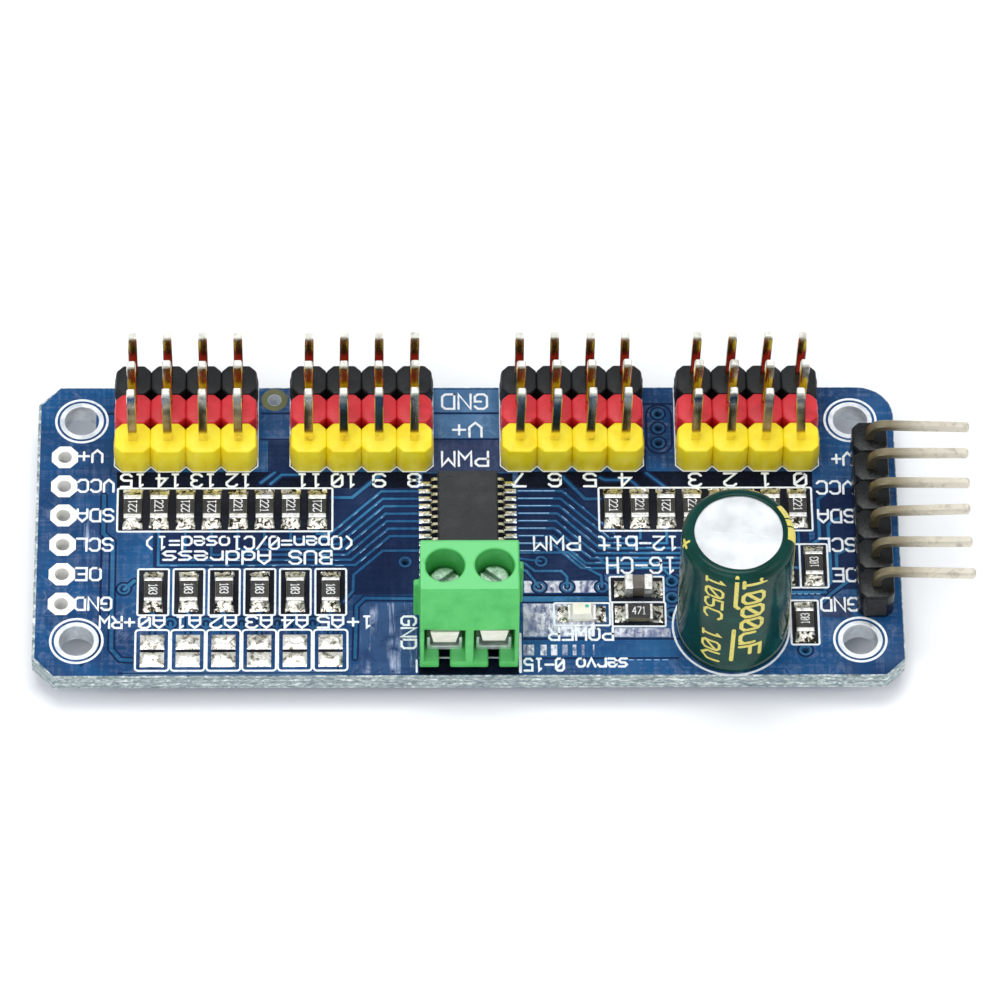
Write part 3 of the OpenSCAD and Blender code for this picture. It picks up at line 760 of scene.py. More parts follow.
def foil_finish():
    """End of the wound element: edges of paper and foil in rings."""
    f = Finish("wound_foil", metal=0.3, rough=0.6)
    rings = f.nodes.new("ShaderNodeTexWave")
    rings.wave_type = "RINGS"
    rings.rings_direction = "Z"
    rings.inputs["Scale"].default_value = 2500
    f.links.new(f.where, rings.inputs["Vector"])
    f.colour(f.ramp(rings.outputs["Fac"], (0.2, "8d8672"), (0.6, "d6d0bd")))
    f.rough(f.noise(0.4), 0.5, 0.7)
    f.bump(rings.outputs["Fac"], 0.02)
    return f.material


def lamp_finish(name, usual, tint):
    """Milky moulding of the lamp: slightly see-through, with a tint inside."""
    f = Finish(name, rough=0.3, soft=0.3, coat=0.3, coat_rough=0.1)
    f.shader.inputs["Subsurface Radius"].default_value = (0.0006, 0.0007, 0.0005)
    f.colour(f.ramp(f.noise(0.9, 3.0, 0.5), (0.3, tint), (0.55, usual)))
    f.rough(f.noise(0.3), 0.22, 0.4)
    f.bump(f.noise(0.35), 0.006)
    return f.material


def floor_finish():
    f = Finish("studio_floor", rough=0.6)
    f.colour(f.ramp(f.noise(60.0, 3.0, 0.5), (0.3, "f6f7f7"), (0.7, "fdfdfd")))
    f.rough(f.noise(30.0), 0.55, 0.7)
    return f.material


COPPER = mask_finish("mask_over_copper", "16345c", "1a4674", "185c92", "a9b2cc", 0.45)
GLINTING = glinting_finish()
STREAKED = streaked_finish()
# Paler mask: its paleness is partly the pour's own tone, partly a painted haze of reflected light
HAZY = mask_finish("mask_hazy", "34587c", "446a90", "5c86ac", "a9c4dc", 0.3)
# Bare mask in a violet-grey tone, partly a painted haze of reflected light
VIOLET = mask_finish("mask_violet", "222c48", "2b3654", "3a466c", "8087a8", 0.3)
BAND = mask_finish("mask_band", "164474", "1b4e80", "28608e", "8fb6d8", 0.2)
BARE = mask_finish("mask_over_laminate", "0c1a38", "112346", "1a2e54", "6f7aa0", 0.12)
# Very dark mask: bare areas, darkened further as painted shade in front of the headers and under the
# terminal's front
DARK = mask_finish("mask_dark", "050917", "080e1e", "0d162e", "3a466e", 0.05, 0.26)
BROWNISH = mask_finish("mask_brownish", "0c0e16", "14161f", "26262a", "6d6a60", 0.1)
GAP = mask_finish("mask_between_tracks", "0d1c3a", "112347", "182c54", "2e4472", 0.05)
TRACK = mask_finish("mask_over_tracks", "184a74", "205882", "3a80ac", "a6d2ee", 0.2, 0.24)
RINGED = mask_finish("mask_over_rings", "1c4468", "285c86", "38749c", "a6cfe6", 0.2, 0.24)
OLIVE = mask_finish("tooling_ring", "4f5238", "6a6d4c", "85875f", "a9a98a", 0.2, 0.35)
LAMINATE = laminate_finish()
SILK = ink_finish("silkscreen_ink", "eef3f6", "c3ccd6")
# Painted highlight colour of the bright track edges
GLINT = ink_finish("track_glint", "8fb8dc", "5487b6", 0.3)
CODE = ink_finish("code_ink", "e8e9e6", "a9aaa8")
GOLD = ink_finish("sleeve_print", "d9cb62", "b9ab4c", 0.4)
SOLDER = solder_finish()
SOLDER_ROUGH = solder_finish("solder_dark_spotted", "2b261c", "e6e2d4", 0.06, 0.3, (0.42, 0.53))
SOLDER_FLAT = solder_finish("solder_levelled", "7d7868", "efece1", 0.05, 0.45, (0.36, 0.5))
TIN = plating_finish("tinned_ring", "c4cad0", "dfe3e6", "fafbfb", 0.3, 0.45, 0.002, 1.0, 0.7)
PAD = plating_finish("plated_pad", "eceae2", "f8f7f2", "ffffff", 0.35, 0.5, 0.002, 1.0, 0.4)
LEAD = plating_finish("lead_tin", "a79d7c", "dcd5b6", "f6f2dd", 0.14, 0.3, 0.006, 0.3)
CAPS = plating_finish("end_cap_tin", "b0aea6", "e6e5e0", "fdfcf8", 0.25, 0.4, 0.006, 0.35, 0.8)
# Its last colour is a painted reflection of the housing's top on the pins' feet
PINS = pin_finish("gold_flashed_pin", "94793e", "a39370", "f6f4ea", HOUSING_TOP, PIN_TOP, 0.14,
                  housing_reflection="f0e2b4")
CONTROL_PINS = pin_finish("nickel_pin", "857b62", "d2cab8", "ddd6c6", CONTROL_X, CONTROL_TIP, 0.26,
                          0.85, "X")
YELLOW = plastic_finish("yellow_plastic", "f5d60a", "fbe31e", "ffec44", 0.4, 0.08)
YELLOW_TORN = torn_finish("yellow_torn", "f3d21f", "fbe87a")
RED = plastic_finish("red_plastic", "c21622", "d11f2b", "dd353e", 0.42, 0.05)
RED_TORN = torn_finish("red_torn", "cf2a33", "f0a3a3")
BLACK = plastic_finish("black_plastic", "0d0e10", "121315", "202124", 0.46, shine=0.3)
BLACK_GLOSS = plastic_finish("black_header_plastic", "050506", "08090a", "141517", 0.3, shine=0.3)
BLACK_TORN = torn_finish("black_torn", "17181a", "2c2c2d")
EPOXY = plastic_finish("chip_epoxy", "1b1d1f", "222426", "303234", 0.62, 0.0, 0.14, 0.014)
GLAZE = plastic_finish("resistor_glaze", "1a1917", "24221f", "3a3733", 0.34, 0.0, 0.3, 0.006)
ALUMINA = plastic_finish("resistor_alumina", "4d4a33", "6e6a52", "98947c", 0.5)
CERAMIC = plastic_finish("brown_ceramic", "4a443d", "5f5850", "7d766d", 0.4)
# Terminal housing; its last colour is a painted highlight on up-facing surfaces
GREEN = plastic_finish("green_plastic", "41ad51", "4eba5e", "5ac469", 0.42, 0.1, 0.3, 0.004, "6acb7b")
RUBBER = plastic_finish("rubber_bung", "17181a", "202124", "2d2e31", 0.75)
CAN = can_finish()
SLEEVE = sleeve_finish()
FOIL = foil_finish()
GUARD = plating_finish("guard_tin", "e6e4d2", "f4f2e4", "fffdf4", 0.4, 0.6, 0.002, 1.2, 0.25)
# Screw steel tinted green: a painted reflection of the terminal's green housing
STEEL_WITH_GREEN_REFLECTION = plating_finish("screw_steel", "86a08e", "a9c4b0", "d5e8d9", 0.25, 0.4, 0.004, 0.6)
LAMP_BASE = lamp_finish("lamp_white", "f2efdd", "dcd8bf")
LAMP_LENS = lamp_finish("lamp_lens", "f6f2e4", "ebe5d0")
LAMP_TINT = lamp_finish("lamp_tint", "3fc7a6", "2aa88a")
FLOOR = floor_finish()


# ---- Bare board ----

def board_outline():
    w, d, r = HALF_W, HALF_D, BACK_RIGHT_RADIUS
    points = [(-w, LEFT_CHAMFER - d), (LEFT_CHAMFER - w, -d)]
    points += [(w - FRONT_RIGHT_CHAMFER, -d), (w, FRONT_RIGHT_CHAMFER - d)]
    for k in range(9):
        angle = math.radians(90 * k / 8)
        points.append((w - r + r * math.cos(angle), d - r + r * math.sin(angle)))
    return points + [(LEFT_CHAMFER - w, d), (-w, d - LEFT_CHAMFER)]


def servo_points():
    return [(GROUP_X[g] + PITCH * (i + 0.5), y)
            for g in GROUPS for i in range(PER_GROUP) for y in ROW_Y.values()]


def board_holes():
    """Outlines of all drilled holes."""
    drilled = [(MOUNT_HOLE_R + 0.04, 32, MOUNT_PLACES), (0.5, 16, servo_points()),
               (0.52, 16, [(s * CONTROL_X, y) for s in (-1, 1) for y in CONTROL_Y]),
               (VIA_OPEN, 12, VIAS), (0.45, 16, CAP_LEADS), (0.55, 16, TERMINAL_LEADS),
               (TOOLING_R, 24, [TOOLING])]
    return [circle(x, y, radius, steps) for radius, steps, places in drilled for x, y in places]


def inside(outline, x, y):
    """Whether a via lies wholly inside a convex counter-clockwise outline."""
    for i, (ax, ay) in enumerate(outline):
        bx, by = outline[(i + 1) % len(outline)]
        length = math.hypot(bx - ax, by - ay)
        if ((bx - ax) * (y - ay) - (by - ay) * (x - ax)) / length < VIA_MARGIN:
            return False
    return True


def make_board():
    holes = board_holes()
    core = Build()
    plate(core, board_outline(), POUR_T, TOP - POUR_T, holes)
    core.make("board_laminate", [LAMINATE], "board_mask", ["board"])
    mask = Build()
    edge = inset(board_outline(), 0.06)
    edge = [(max(x, 0.2 - HALF_W), y) for x, y in edge]
    for low in (0.0, TOP - POUR_T):
        plate(mask, edge, low, low + POUR_T, holes)
    mask.make("board_mask", [COPPER], "board_mask")


# Finishes of the areas of the top that have their own look; several carry painted haze, glare and shade
ZONE_FINISHES = [BARE, DARK, BROWNISH, GLINTING, BAND, HAZY, STREAKED, VIOLET]
(BARE_SLOT, DARK_SLOT, BROWN_SLOT, GLINT_SLOT, BAND_SLOT, HAZE_SLOT, STREAK_SLOT,
 VIOLET_SLOT) = range(len(ZONE_FINISHES))
# Bare strips in front of the header groups, with no pour; their extra darkness is painted shade from the
# headers
HEADER_SHADE_STRIPS = [(-25.3, 3.62, -3.7, 5.05), (3.7, 3.62, 25.0, 5.05)]
SERIES_BOXES = [(-25.22, -0.15, -9.73, 3.6), (9.5, -0.15, 24.88, 3.6)]
# Painted reflection: bright bars of glare in the front pour, right of the terminal: left edge and width
FRONT_GLARE_BARS = [(3.9, 0.75), (5.1, 0.45), (5.85, 0.45), (6.65, 0.38), (7.4, 0.26), (8.05, 0.18),
              (8.85, 0.1)]


def zones():
    """Left, front, right and back edge and finish of each area; the first ones lie lowest."""
    made = [
        # PWM area: bare mask with a painted violet haze
        (-3.6, 5.0, 3.6, 7.8, VIOLET_SLOT),
        # V+ and GND pours, and the strip along the front edge by the jumpers: paler mask with painted haze
        (-3.6, 8.0, 3.6, 10.1, HAZE_SLOT),
        (-3.6, 10.3, 3.6, 12.3, HAZE_SLOT),
        (-24.6, -12.4, -9.0, -12.1, HAZE_SLOT),
        (25.0, -5.2, 28.0, 3.6, BARE_SLOT),
        (-9.7, -5.6, -3.2, 3.62, BARE_SLOT),
        (3.2, -4.4, 9.4, 3.62, BARE_SLOT),
        (-3.2, -5.2, 3.3, 4.9, DARK_SLOT),
        (-22.6, -3.2, -9.75, -0.2, BARE_SLOT),
        (9.45, -3.9, 24.6, -0.2, BARE_SLOT),
        # Bare mask with a painted violet haze
        (25.3, -7.6, 27.4, -6.0, VIOLET_SLOT),
        # Painted reflection: pale streaks of glare
        (-27.6, -1.6, -26.4, 1.2, STREAK_SLOT),
        # Painted reflection: pale broken glare on the pour
        (3.9, -9.2, 9.0, -6.4, GLINT_SLOT),
        (4.0, -5.45, 9.4, -4.45, GLINT_SLOT),
        (10.4, -9.25, 14.4, -8.5, GLINT_SLOT),
        # Painted reflection: pale streaks of glare
        (-7.8, -12.3, -3.7, -6.3, STREAK_SLOT),
        (3.8, -10.95, 14.9, -9.5, BAND_SLOT),
        (-26.9, 7.95, -25.2, 10.1, BAND_SLOT),
        (-14.4, 5.06, -11.6, 7.8, BARE_SLOT),
        (11.6, 5.06, 13.0, 7.8, BARE_SLOT),
        # Bare mask under the terminal's front, darkened further as its painted shadow
        (-3.55, -12.42, 3.55, -8.5, DARK_SLOT),
    ]
    # Painted reflection: bars of glare in the front pour
    made += [(left, -10.8, left + wide, -9.9, GLINT_SLOT) for left, wide in FRONT_GLARE_BARS]
    # Header strips: bare mask darkened further as painted shade
    made += [(*area, DARK_SLOT) for area in HEADER_SHADE_STRIPS]
    made += [(*area, BROWN_SLOT) for area in SERIES_BOXES]
    made += [(x - 1.1, ADDRESS_Y - 1.95, x + 1.1, ADDRESS_Y + 1.95, BROWN_SLOT)
             for x in ADDRESS_X]
    made += [(x - 0.98, y - 1.86, x + 0.98, y + 1.86, BROWN_SLOT) for x, y in BUS_PLACES]
    made += [(10.3, -8.35, 14.07, -6.33, BROWN_SLOT), (10.17, -6.3, 14.0, -4.14, BROWN_SLOT)]
    made += [(x - 0.82, JUMPER_Y - 0.4, x + 0.82, JUMPER_Y + 0.4, BROWN_SLOT)
             for x in ADDRESS_X]
    return made


def make_zones():
    build = Build()
    for k, (*area, slot) in enumerate(zones()):
        outline = rectangle(*area)
        open_vias = [circle(x, y, VIA_OPEN, 12) for x, y in VIAS if inside(outline, x, y)]
        rise = TOP + BARE_Z + LAYER_STEP * k / 2
        plate(build, outline, TOP - BED, rise, open_vias, slot)
    build.make("board_areas", ZONE_FINISHES, "board_mask")


TRACK_W = 0.25
GAP_W = 0.11
LEAD_PITCH = 0.65
# Y of the track at the rearmost lead but one of the chip
FIRST_TRACK_Y = 3.335


def fan_tracks(side, count, foot_x, foot_step, drop_step, pad_x):
    """Tracks that leave one side of the chip, turn at 45 degrees and run along to the resistors."""
    tracks = []
    for k in range(count):
        y = FIRST_TRACK_Y - LEAD_PITCH * k
        foot = foot_x + foot_step * k
        low = -0.35 - drop_step * k
        points = [(side * 3.6, y), (side * foot, y), (side * (foot + y - low), low)]
        points += [(side * (pad_x + SERIES_PITCH * k), low), (side * (pad_x + SERIES_PITCH * k), 0.2)]
        if abs(points[3][0]) > abs(points[2][0]) + 0.3:
            tracks.append((points, TRACK_W))
        else:
            tracks.append((points[:2] + [(points[3][0], low), points[4]], TRACK_W))
    return tracks


def signal_tracks():
    tracks = fan_tracks(-1, 7, 6.2, -0.1, 0.45, 10.82) + fan_tracks(1, 8, 6.85, -0.12, 0.43, 10.54)
    tracks += [
        ([(-3.6, -1.82), (-6.1, -1.82), (-8.2, -3.9), (-8.25, -5.3), (-8.9, -6.2)], TRACK_W),
        ([(-4.0, -5.95), (-7.4, -5.9), (-8.0, -6.6), (-8.1, -11.0)], 0.3),
        ([(-6.3, 4.75), (-8.3, 2.8), (-9.75, 2.8)], 0.3),
        ([(-14.9, 4.1), (-13.9, 5.0)], TRACK_W),
        ([(-14.2, 4.0), (-13.4, 4.8), (-12.2, 4.8)], TRACK_W),
        ([(-26.2, 3.0), (-26.2, -0.3), (-25.5, -1.0), (-25.45, -10.2), (-24.8, -11.1),
          (-24.0, -11.15)], 0.35),
        ([(-24.6, -5.1), (-23.9, -4.4)], 0.35),
        ([(3.6, -2.5), (5.24, -2.75)], TRACK_W),
        ([(3.6, -3.3), (4.2, -3.6), (4.8, -4.5), (5.06, -4.98)], TRACK_W),
        ([(3.6, -2.75), (4.1, -2.95), (4.8, -3.6), (6.7, -3.6), (7.1, -4.1), (7.1, -4.98)], TRACK_W),
        ([(3.6, -2.0), (7.2, -2.0), (8.6, -3.4), (9.55, -4.0), (9.6, -4.98)], TRACK_W),
        ([(6.9, 4.6), (8.5, 2.65), (9.6, 2.65)], 0.3),
        ([(9.6, 4.5), (10.0, 4.3), (11.8, 4.3), (12.3, 3.8)], TRACK_W),
        ([(13.0, 4.9), (14.3, 3.7)], TRACK_W),
        ([(26.1, 3.2), (25.35, 2.6), (25.35, -0.9), (24.9, -1.2)], 0.3),
        ([(27.0, 1.0), (26.3, 0.7), (26.0, 0.3), (26.05, -4.6), (25.6, -5.2)], 0.3),
        ([(27.4, -1.7), (26.5, -2.2), (26.5, -3.3)], 0.3),
        ([(27.4, -4.4), (26.0, -5.6), (25.3, -6.4)], 0.3),
        ([(22.9, -5.47), (25.6, -5.47)], 0.3),
        ([(3.9, -6.0), (9.9, -6.0)], 0.5),
        ([(9.3, -2.4), (9.9, -3.0), (13.6, -3.0), (14.6, -4.1)], TRACK_W),
        ([(15.0, -5.9), (16.0, -5.9)], TRACK_W),
    ]
    tracks += [([(x, ADDRESS_Y - 1.7), (x, JUMPER_Y + 1.5)], 0.3) for x in ADDRESS_X]
    tracks += [([(x + 1.27, -8.0), (x + 1.27, -8.9)], TRACK_W) for x in ADDRESS_X[:-1]]
    return tracks


# Parting lines in the copper, as dark lines: points and width
PARTINGS = [
    ([(-26.3, 10.2), (-25.4, 10.2)], 0.16), ([(-14.9, 10.2), (-12.0, 10.2)], 0.16),
    ([(-3.4, 10.2), (3.4, 10.2)], 0.16), ([(-3.4, 7.9), (3.4, 7.9)], 0.16),
    ([(-14.9, 7.9), (-12.0, 7.9)], 0.16), ([(12.4, 11.0), (15.2, 11.0)], 0.16),
    ([(3.7, -5.62), (10.0, -5.62)], 0.2), ([(3.9, -9.42), (15.0, -9.42)], 0.16),
    ([(22.9, -5.2), (25.6, -5.2)], 0.16), ([(-27.6, -11.6), (-26.3, -10.4), (-26.3, 3.0)], 0.16),
    ([(-24.9, -12.25), (-9.0, -12.25)], 0.1), ([(3.8, -11.05), (14.9, -11.05)], 0.14),
    ([(-9.3, -8.7), (-9.3, -12.2)], 0.14),
]


def add_underside(tracks):
    """Supply and ground runs under the headers, and the runs from the series resistors."""
    for y in (ROW_Y["power"], ROW_Y["ground"]):
        strip(tracks, [(-25.5, y), (25.5, y)], 1.9, -TRACK_Z, BED, 0, 0.0)
    for k, x in enumerate(SERIES_X):
        strip(tracks, [(x, 4.6), (x, 0.4), (x * 0.86, -0.6 - 0.35 * (k % 8))], 0.3, -TRACK_Z, BED)
    strip(tracks, [(-25.4, -11.0), (20.0, -11.0), (25.2, -9.2)], 1.4, -TRACK_Z, BED)


def make_tracks():
    gaps, tracks = Build(), Build()
    for points, width in signal_tracks():
        strip(gaps, points, width + 2 * GAP_W, TOP - BED, TOP + GAP_Z)
        strip(tracks, points, width, TOP - BED, TOP + TRACK_Z, 0, 0.04)
    for points, width in PARTINGS:
        strip(gaps, points, width, TOP - BED, TOP + GAP_Z)
    oval = rounded(13.08, 6.62, 14.92, 10.91, 0.9, 6)
    strip(gaps, oval, 0.16, TOP - BED, TOP + GAP_Z, closed=True)
    for x, y in VIAS:
        turned(gaps, x, y, [(0.3, TOP - BED), (0.62, TOP - BED), (0.62, TOP + GAP_Z),
                            (0.3, TOP + GAP_Z)], 24, ring=True)
    add_underside(tracks)
    gaps.make("track_gaps", [GAP], "board_mask")
    tracks.make("board_tracks", [TRACK], "masked_copper")


def make_via_rings():
    rings = Build()
    profile = [(0.23, -POUR_T), (0.47, -POUR_T), (0.47, 0.0), (0.27, 0.0), (0.27, TOP), (0.47, TOP),
               (0.45, TOP + 0.028), (0.32, TOP + 0.028), (0.23, TOP - 0.06)]
    for x, y in VIAS:
        turned(rings, x, y, profile, 28, ring=True)
    rings.make("via_rings", [RINGED], "masked_copper", ["vias"])


def make_tooling_ring():
    """Bare ring round the tooling hole, and the pale wall of the hole, whitened as painted light seen
    through it.
    """
    ring = Build()
    turned(ring, *TOOLING, [(TOOLING_R, TOP - BED), (0.97, TOP - BED), (0.97, TOP + 0.01),
                            (0.93, TOP + 0.02), (TOOLING_R + 0.02, TOP + 0.02)], 32, ring=True)
    # Wall of the hole in white ink: painted light, for the bright floor seen through the hole
    turned(ring, *TOOLING, [(TOOLING_R - 0.02, 0.0), (TOOLING_R, 0.0), (TOOLING_R, TOP),
                            (TOOLING_R - 0.02, TOP)], 32, 1, ring=True)
    ring.make("tooling_hole_ring", [OLIVE, SILK], "masked_copper")


def make_glints():
    """Painted highlights: thin bright strips where the tracks' shoulders catch the light, right of the chip
    and along the fan tracks, and short dashes on the pour at the front and on the right.
    """
    build = Build()
    for k in range(9):
        y = FIRST_TRACK_Y - LEAD_PITCH * k
        strip(build, [(3.7, y + 0.02), (6.3 - 0.14 * k, y + 0.02)], 0.07, TOP, TOP + TRACK_Z + 0.006)
    for i in range(5):
        strip(build, [(11.4 + 0.6 * i, -11.2), (11.75 + 0.6 * i, -11.2)], 0.07, TOP, TOP + 0.012)
        strip(build, [(23.2 + 0.44 * i, -5.62), (23.45 + 0.44 * i, -5.62)], 0.06, TOP, TOP + 0.028)
    for points, _ in signal_tracks()[:15]:
        for a, b in zip(points[1:3], points[2:4]):
            length = math.hypot(b[0] - a[0], b[1] - a[1])
            dx, dy = unit(a, b)
            at = RNG.uniform(0.1, 0.9)
            while at < length - 0.5:
                run = RNG.uniform(0.15, 0.6)
                ends = [(a[0] + dx * t - dy * 0.06, a[1] + dy * t + dx * 0.06) for t in (at, at + run)]
                strip(build, ends, RNG.uniform(0.03, 0.06), TOP, TOP + TRACK_Z + 0.006)
                at += run + RNG.uniform(0.8, 2.6)
    build.make("track_edge_painted_glints", [GLINT], "masked_copper")


# ---- Silkscreen ----

SILK_W = 0.14
TEXT_W = 0.17
# Boxes round the pull resistors, the lamp's resistor, the bypass capacitor and the lamp
COMPONENT_BOXES = [(23.86, -5.08, 25.85, -1.33), (21.7, -5.08, 23.86, -1.33),
                   (23.03, -9.94, 25.02, -6.18), (10.28, -8.37, 14.09, -6.31),
                   (10.15, -6.31, 14.01, -4.12), (6.12, -8.28, 10.11, -6.37)]


def silk_box(build, x0, y0, x1, y1, radius=0.12):
    strip(build, rounded(x0, y0, x1, y1, radius), SILK_W, TOP - BED, TOP + SILK_Z, closed=True)


def silk_line(build, points, width=SILK_W):
    strip(build, points, width, TOP - BED, TOP + SILK_Z)


def silk_text(build, text, along, across, stroke=TEXT_W, upright=True):
    write(build, text, along, across, stroke, TOP - BED, TOP + SILK_Z, upright)


def header_outline(g):
    """Line round a group of header cells, following their cut corners at the front."""
    x0 = GROUP_X[g]
    front, back = ROW_Y["signal"] - PITCH / 2 - 0.03, ROW_Y["ground"] + PITCH / 2 + 0.05
    points = [(x0 - 0.1, back), (x0 - 0.1, front + CELL_CUT)]
    for i in range(PER_GROUP):
        left = x0 + PITCH * i
        points += [(left + CELL_CUT - 0.05, front), (left + PITCH - CELL_CUT + 0.05, front)]
        if i < PER_GROUP - 1:
            points.append((left + PITCH, front + CELL_CUT - 0.05))
    points += [(x0 + PITCH * PER_GROUP + 0.1, front + CELL_CUT)]
    return points + [(x0 + PITCH * PER_GROUP + 0.1, back)]


def make_silkscreen():
    ink = Build()
    for g in GROUPS:
        silk_line(ink, header_outline(g), 0.09)
    for area in SERIES_BOXES:
        silk_box(ink, *area)
    for x in ADDRESS_X:
        silk_box(ink, x - 1.1, -7.35, x + 1.11, -3.4)
        silk_box(ink, x - 1.2, -12.06, x + 1.2, -8.6, 0.24)
    for area in COMPONENT_BOXES:
        silk_box(ink, *area)
    strip(ink, circle(CAP.x - 0.05, CAP.y + 0.02, 4.17, 64), 0.15, TOP - BED, TOP + SILK_Z, closed=True)
    for x, y in MOUNT_PLACES:
        strip(ink, circle(x, y, 1.86, 48), 0.17, TOP - BED, TOP + SILK_Z, closed=True)
    silk_line(ink, [(3.66, -9.0), (3.66, -12.2)], 0.2)
    silk_line(ink, [(-3.5, -11.0), (3.5, -11.0)], 0.12)
    silk_line(ink, [(-3.72, -12.2), (-3.72, -11.2)], 0.14)
    # Header rows and channel numbers
    silk_text(ink, "GND", (1.52, -1.75), (11.86, 10.58))
    silk_text(ink, "V+", (1.09, -0.97), (9.34, 8.1))
    silk_text(ink, "PWM", (1.54, -1.79), (6.78, 5.54))
    for channel in range(16):
        g, i = GROUPS[3 - channel // 4], 3 - channel % 4
        x = GROUP_X[g] + PITCH * (i + 0.5)
        half = 0.42 if channel < 10 else 0.86
        silk_text(ink, str(channel), (x + half, x - half), (4.84, 3.74), 0.18)
    # Control pins, both ends of the board
    for name, y, half in (("V+", 6.44, 0.84), ("VCC", 3.85, 1.27), ("SDA", 1.27, 1.28),
                          ("SCL", -1.27, 1.28), ("OE", -3.81, 0.88), ("GND", -6.35, 1.28)):
        silk_text(ink, name, (-28.08 + 2 * half, -28.08), (y + 0.52, y - 0.52))
    for name, y, half in (("V+", 6.11, 0.7), ("VCC", 3.6, 1.3), ("SDA", 1.1, 1.3),
                          ("SCL", -1.4, 1.3), ("OE", -4.0, 0.85), ("GND", -6.52, 1.33)):
        silk_text(ink, name, (27.92, 27.92 - 2 * half), (y + 0.54, y - 0.54))
    # Address block
    for name, left, right in (("+RW", -26.3, -23.85), ("A0", -23.5, -21.7), ("A1", -20.95, -19.15),
                              ("A2", -18.4, -16.6), ("A3", -15.85, -14.05), ("A4", -13.3, -11.5),
                              ("A5", -10.75, -8.95), ("1+", -8.6, -6.9)):
        silk_text(ink, name, (right, left), (-7.47, -8.42), 0.17)
    silk_text(ink, "(Open=0/Closed=1)", (-8.2, -23.2), (-0.6, -1.66), 0.16)
    for words, along, across in (
            ("Address", (-14.2, -21.85), (-1.87, -2.95)), ("BUS", (-9.8, -12.8), (-1.87, -2.95)),
            ("PWM", (8.07, 4.78), (-0.66, -1.79)), ("12-bit", (15.1, 9.46), (-0.66, -1.79)),
            ("16-CH", (14.9, 10.0), (-2.48, -3.79)), ("POWER", (10.29, 5.74), (-8.48, -9.51)),
            ("servo 0-15", (11.23, 3.95), (-11.1, -12.1))):
        silk_text(ink, words, along, across)
    silk_text(ink, "GND", (-7.49, -10.19), (-4.78, -3.76), TEXT_W, False)
    ink.make("silkscreen", [SILK], "board_mask")


# ---- Pin headers ----

ROW_FINISHES = {"signal": (YELLOW, YELLOW_TORN), "power": (RED, RED_TORN), "ground": (BLACK, BLACK_TORN)}
ROW_SLOTS = {"signal": "yellow_plastic", "power": "red_plastic", "ground": "black_plastic"}
CELL_EDGE = 0.14


def cell(build, x, y, low, high):
    """One header cell: cut corners and softened edges."""
    half = PITCH / 2 + 0.002
    outline = softened(octagon(x, y, half, half, CELL_CUT), 0.07)
    slab(build, outline, low, high, CELL_EDGE, 0, 0.06)


# Rough face where a strip was snapped off its neighbour: width, height span and inner depth
TORN_W = 1.45
TORN_LOW, TORN_HIGH = TOP + 0.25, HOUSING_TOP - 0.2
TORN_BED = 0.05
TORN_SLOT = 1


def torn_end(build, x, y, side, along_y=False):
    """Rough snapped face at one end of a strip that runs along X or along Y."""
    rows, columns = 8, 6
    front, back = [], []
    for j in range(rows + 1):
        for i in range(columns + 1):
            u, v = i / columns - 0.5, j / rows
            rim = min(1.0, 4 * min(v, 1 - v), 6 * (0.5 - abs(u)))
            out = 0.02 + rim * (0.05 + 0.07 * RNG.random())
            across = u * TORN_W + 0.04 * RNG.uniform(-1, 1)
            z = TORN_LOW + (TORN_HIGH - TORN_LOW) * v
            if along_y:
                front.append((x + across, y + side * out, z))
                back.append((x + u * TORN_W, y - side * TORN_BED, z))
            else:
                front.append((x + side * out, y + across, z))
                back.append((x - side * TORN_BED, y + u * TORN_W, z))
    grid_shell(build, front, back, columns, rows, TORN_SLOT)


def make_servo_housings():
    for row, y in ROW_Y.items():
        for g in GROUPS:
            build = Build()
            x0 = GROUP_X[g]
            for i in range(PER_GROUP):
                cell(build, x0 + PITCH * (i + 0.5), y, TOP + 0.01, HOUSING_TOP)
            torn_end(build, x0, y, -1)
            torn_end(build, x0 + PITCH * PER_GROUP, y, 1)
            node = row + "_housing_" + str(g)
            build.make(node + "_moulding", list(ROW_FINISHES[row]), ROW_SLOTS[row],
                       [node], 32)


# How far the tips of each group's pins stand off to +X, by row
GROUP_LEAN = {1: {"signal": 0.02, "power": 0.0, "ground": 0.0},
              2: {"signal": 0.0, "power": 0.02, "ground": 0.03},
              3: {"signal": 0.1, "power": 0.06, "ground": -0.04},
              4: {"signal": 0.03, "power": 0.13, "ground": 0.08}}
# One pin, that of channel 0, was knocked to the left
KNOCKED = (4, "signal", 3)
KNOCKED_LEAN = -0.3
# How far each row's pins were pressed up through their housings
ROW_RISE = {"signal": -0.06, "power": -0.16, "ground": -0.3}


def square_pin(build, x, y, low, high, lean, back):
    """Square pin with soft corners and tapered ends, leaning a little above its housing."""
    rings = []
    stations = [(low, 0.24, 0.04), (low + 0.3, PIN_HALF, 0.05), (HOUSING_TOP, PIN_HALF, 0.05),
                (high - 2.5, PIN_HALF, 0.05), (high - 0.32, PIN_HALF, 0.05), (high - 0.06, 0.27, 0.06),
                (high, 0.22, 0.06)]
    for z, half, cut in stations:
        t = max(0.0, (z - HOUSING_TOP) / (high - HOUSING_TOP))
        rings.append(bar_ring(x + lean * t, y + back * t, z, half, half, cut))
    loft(build, rings)


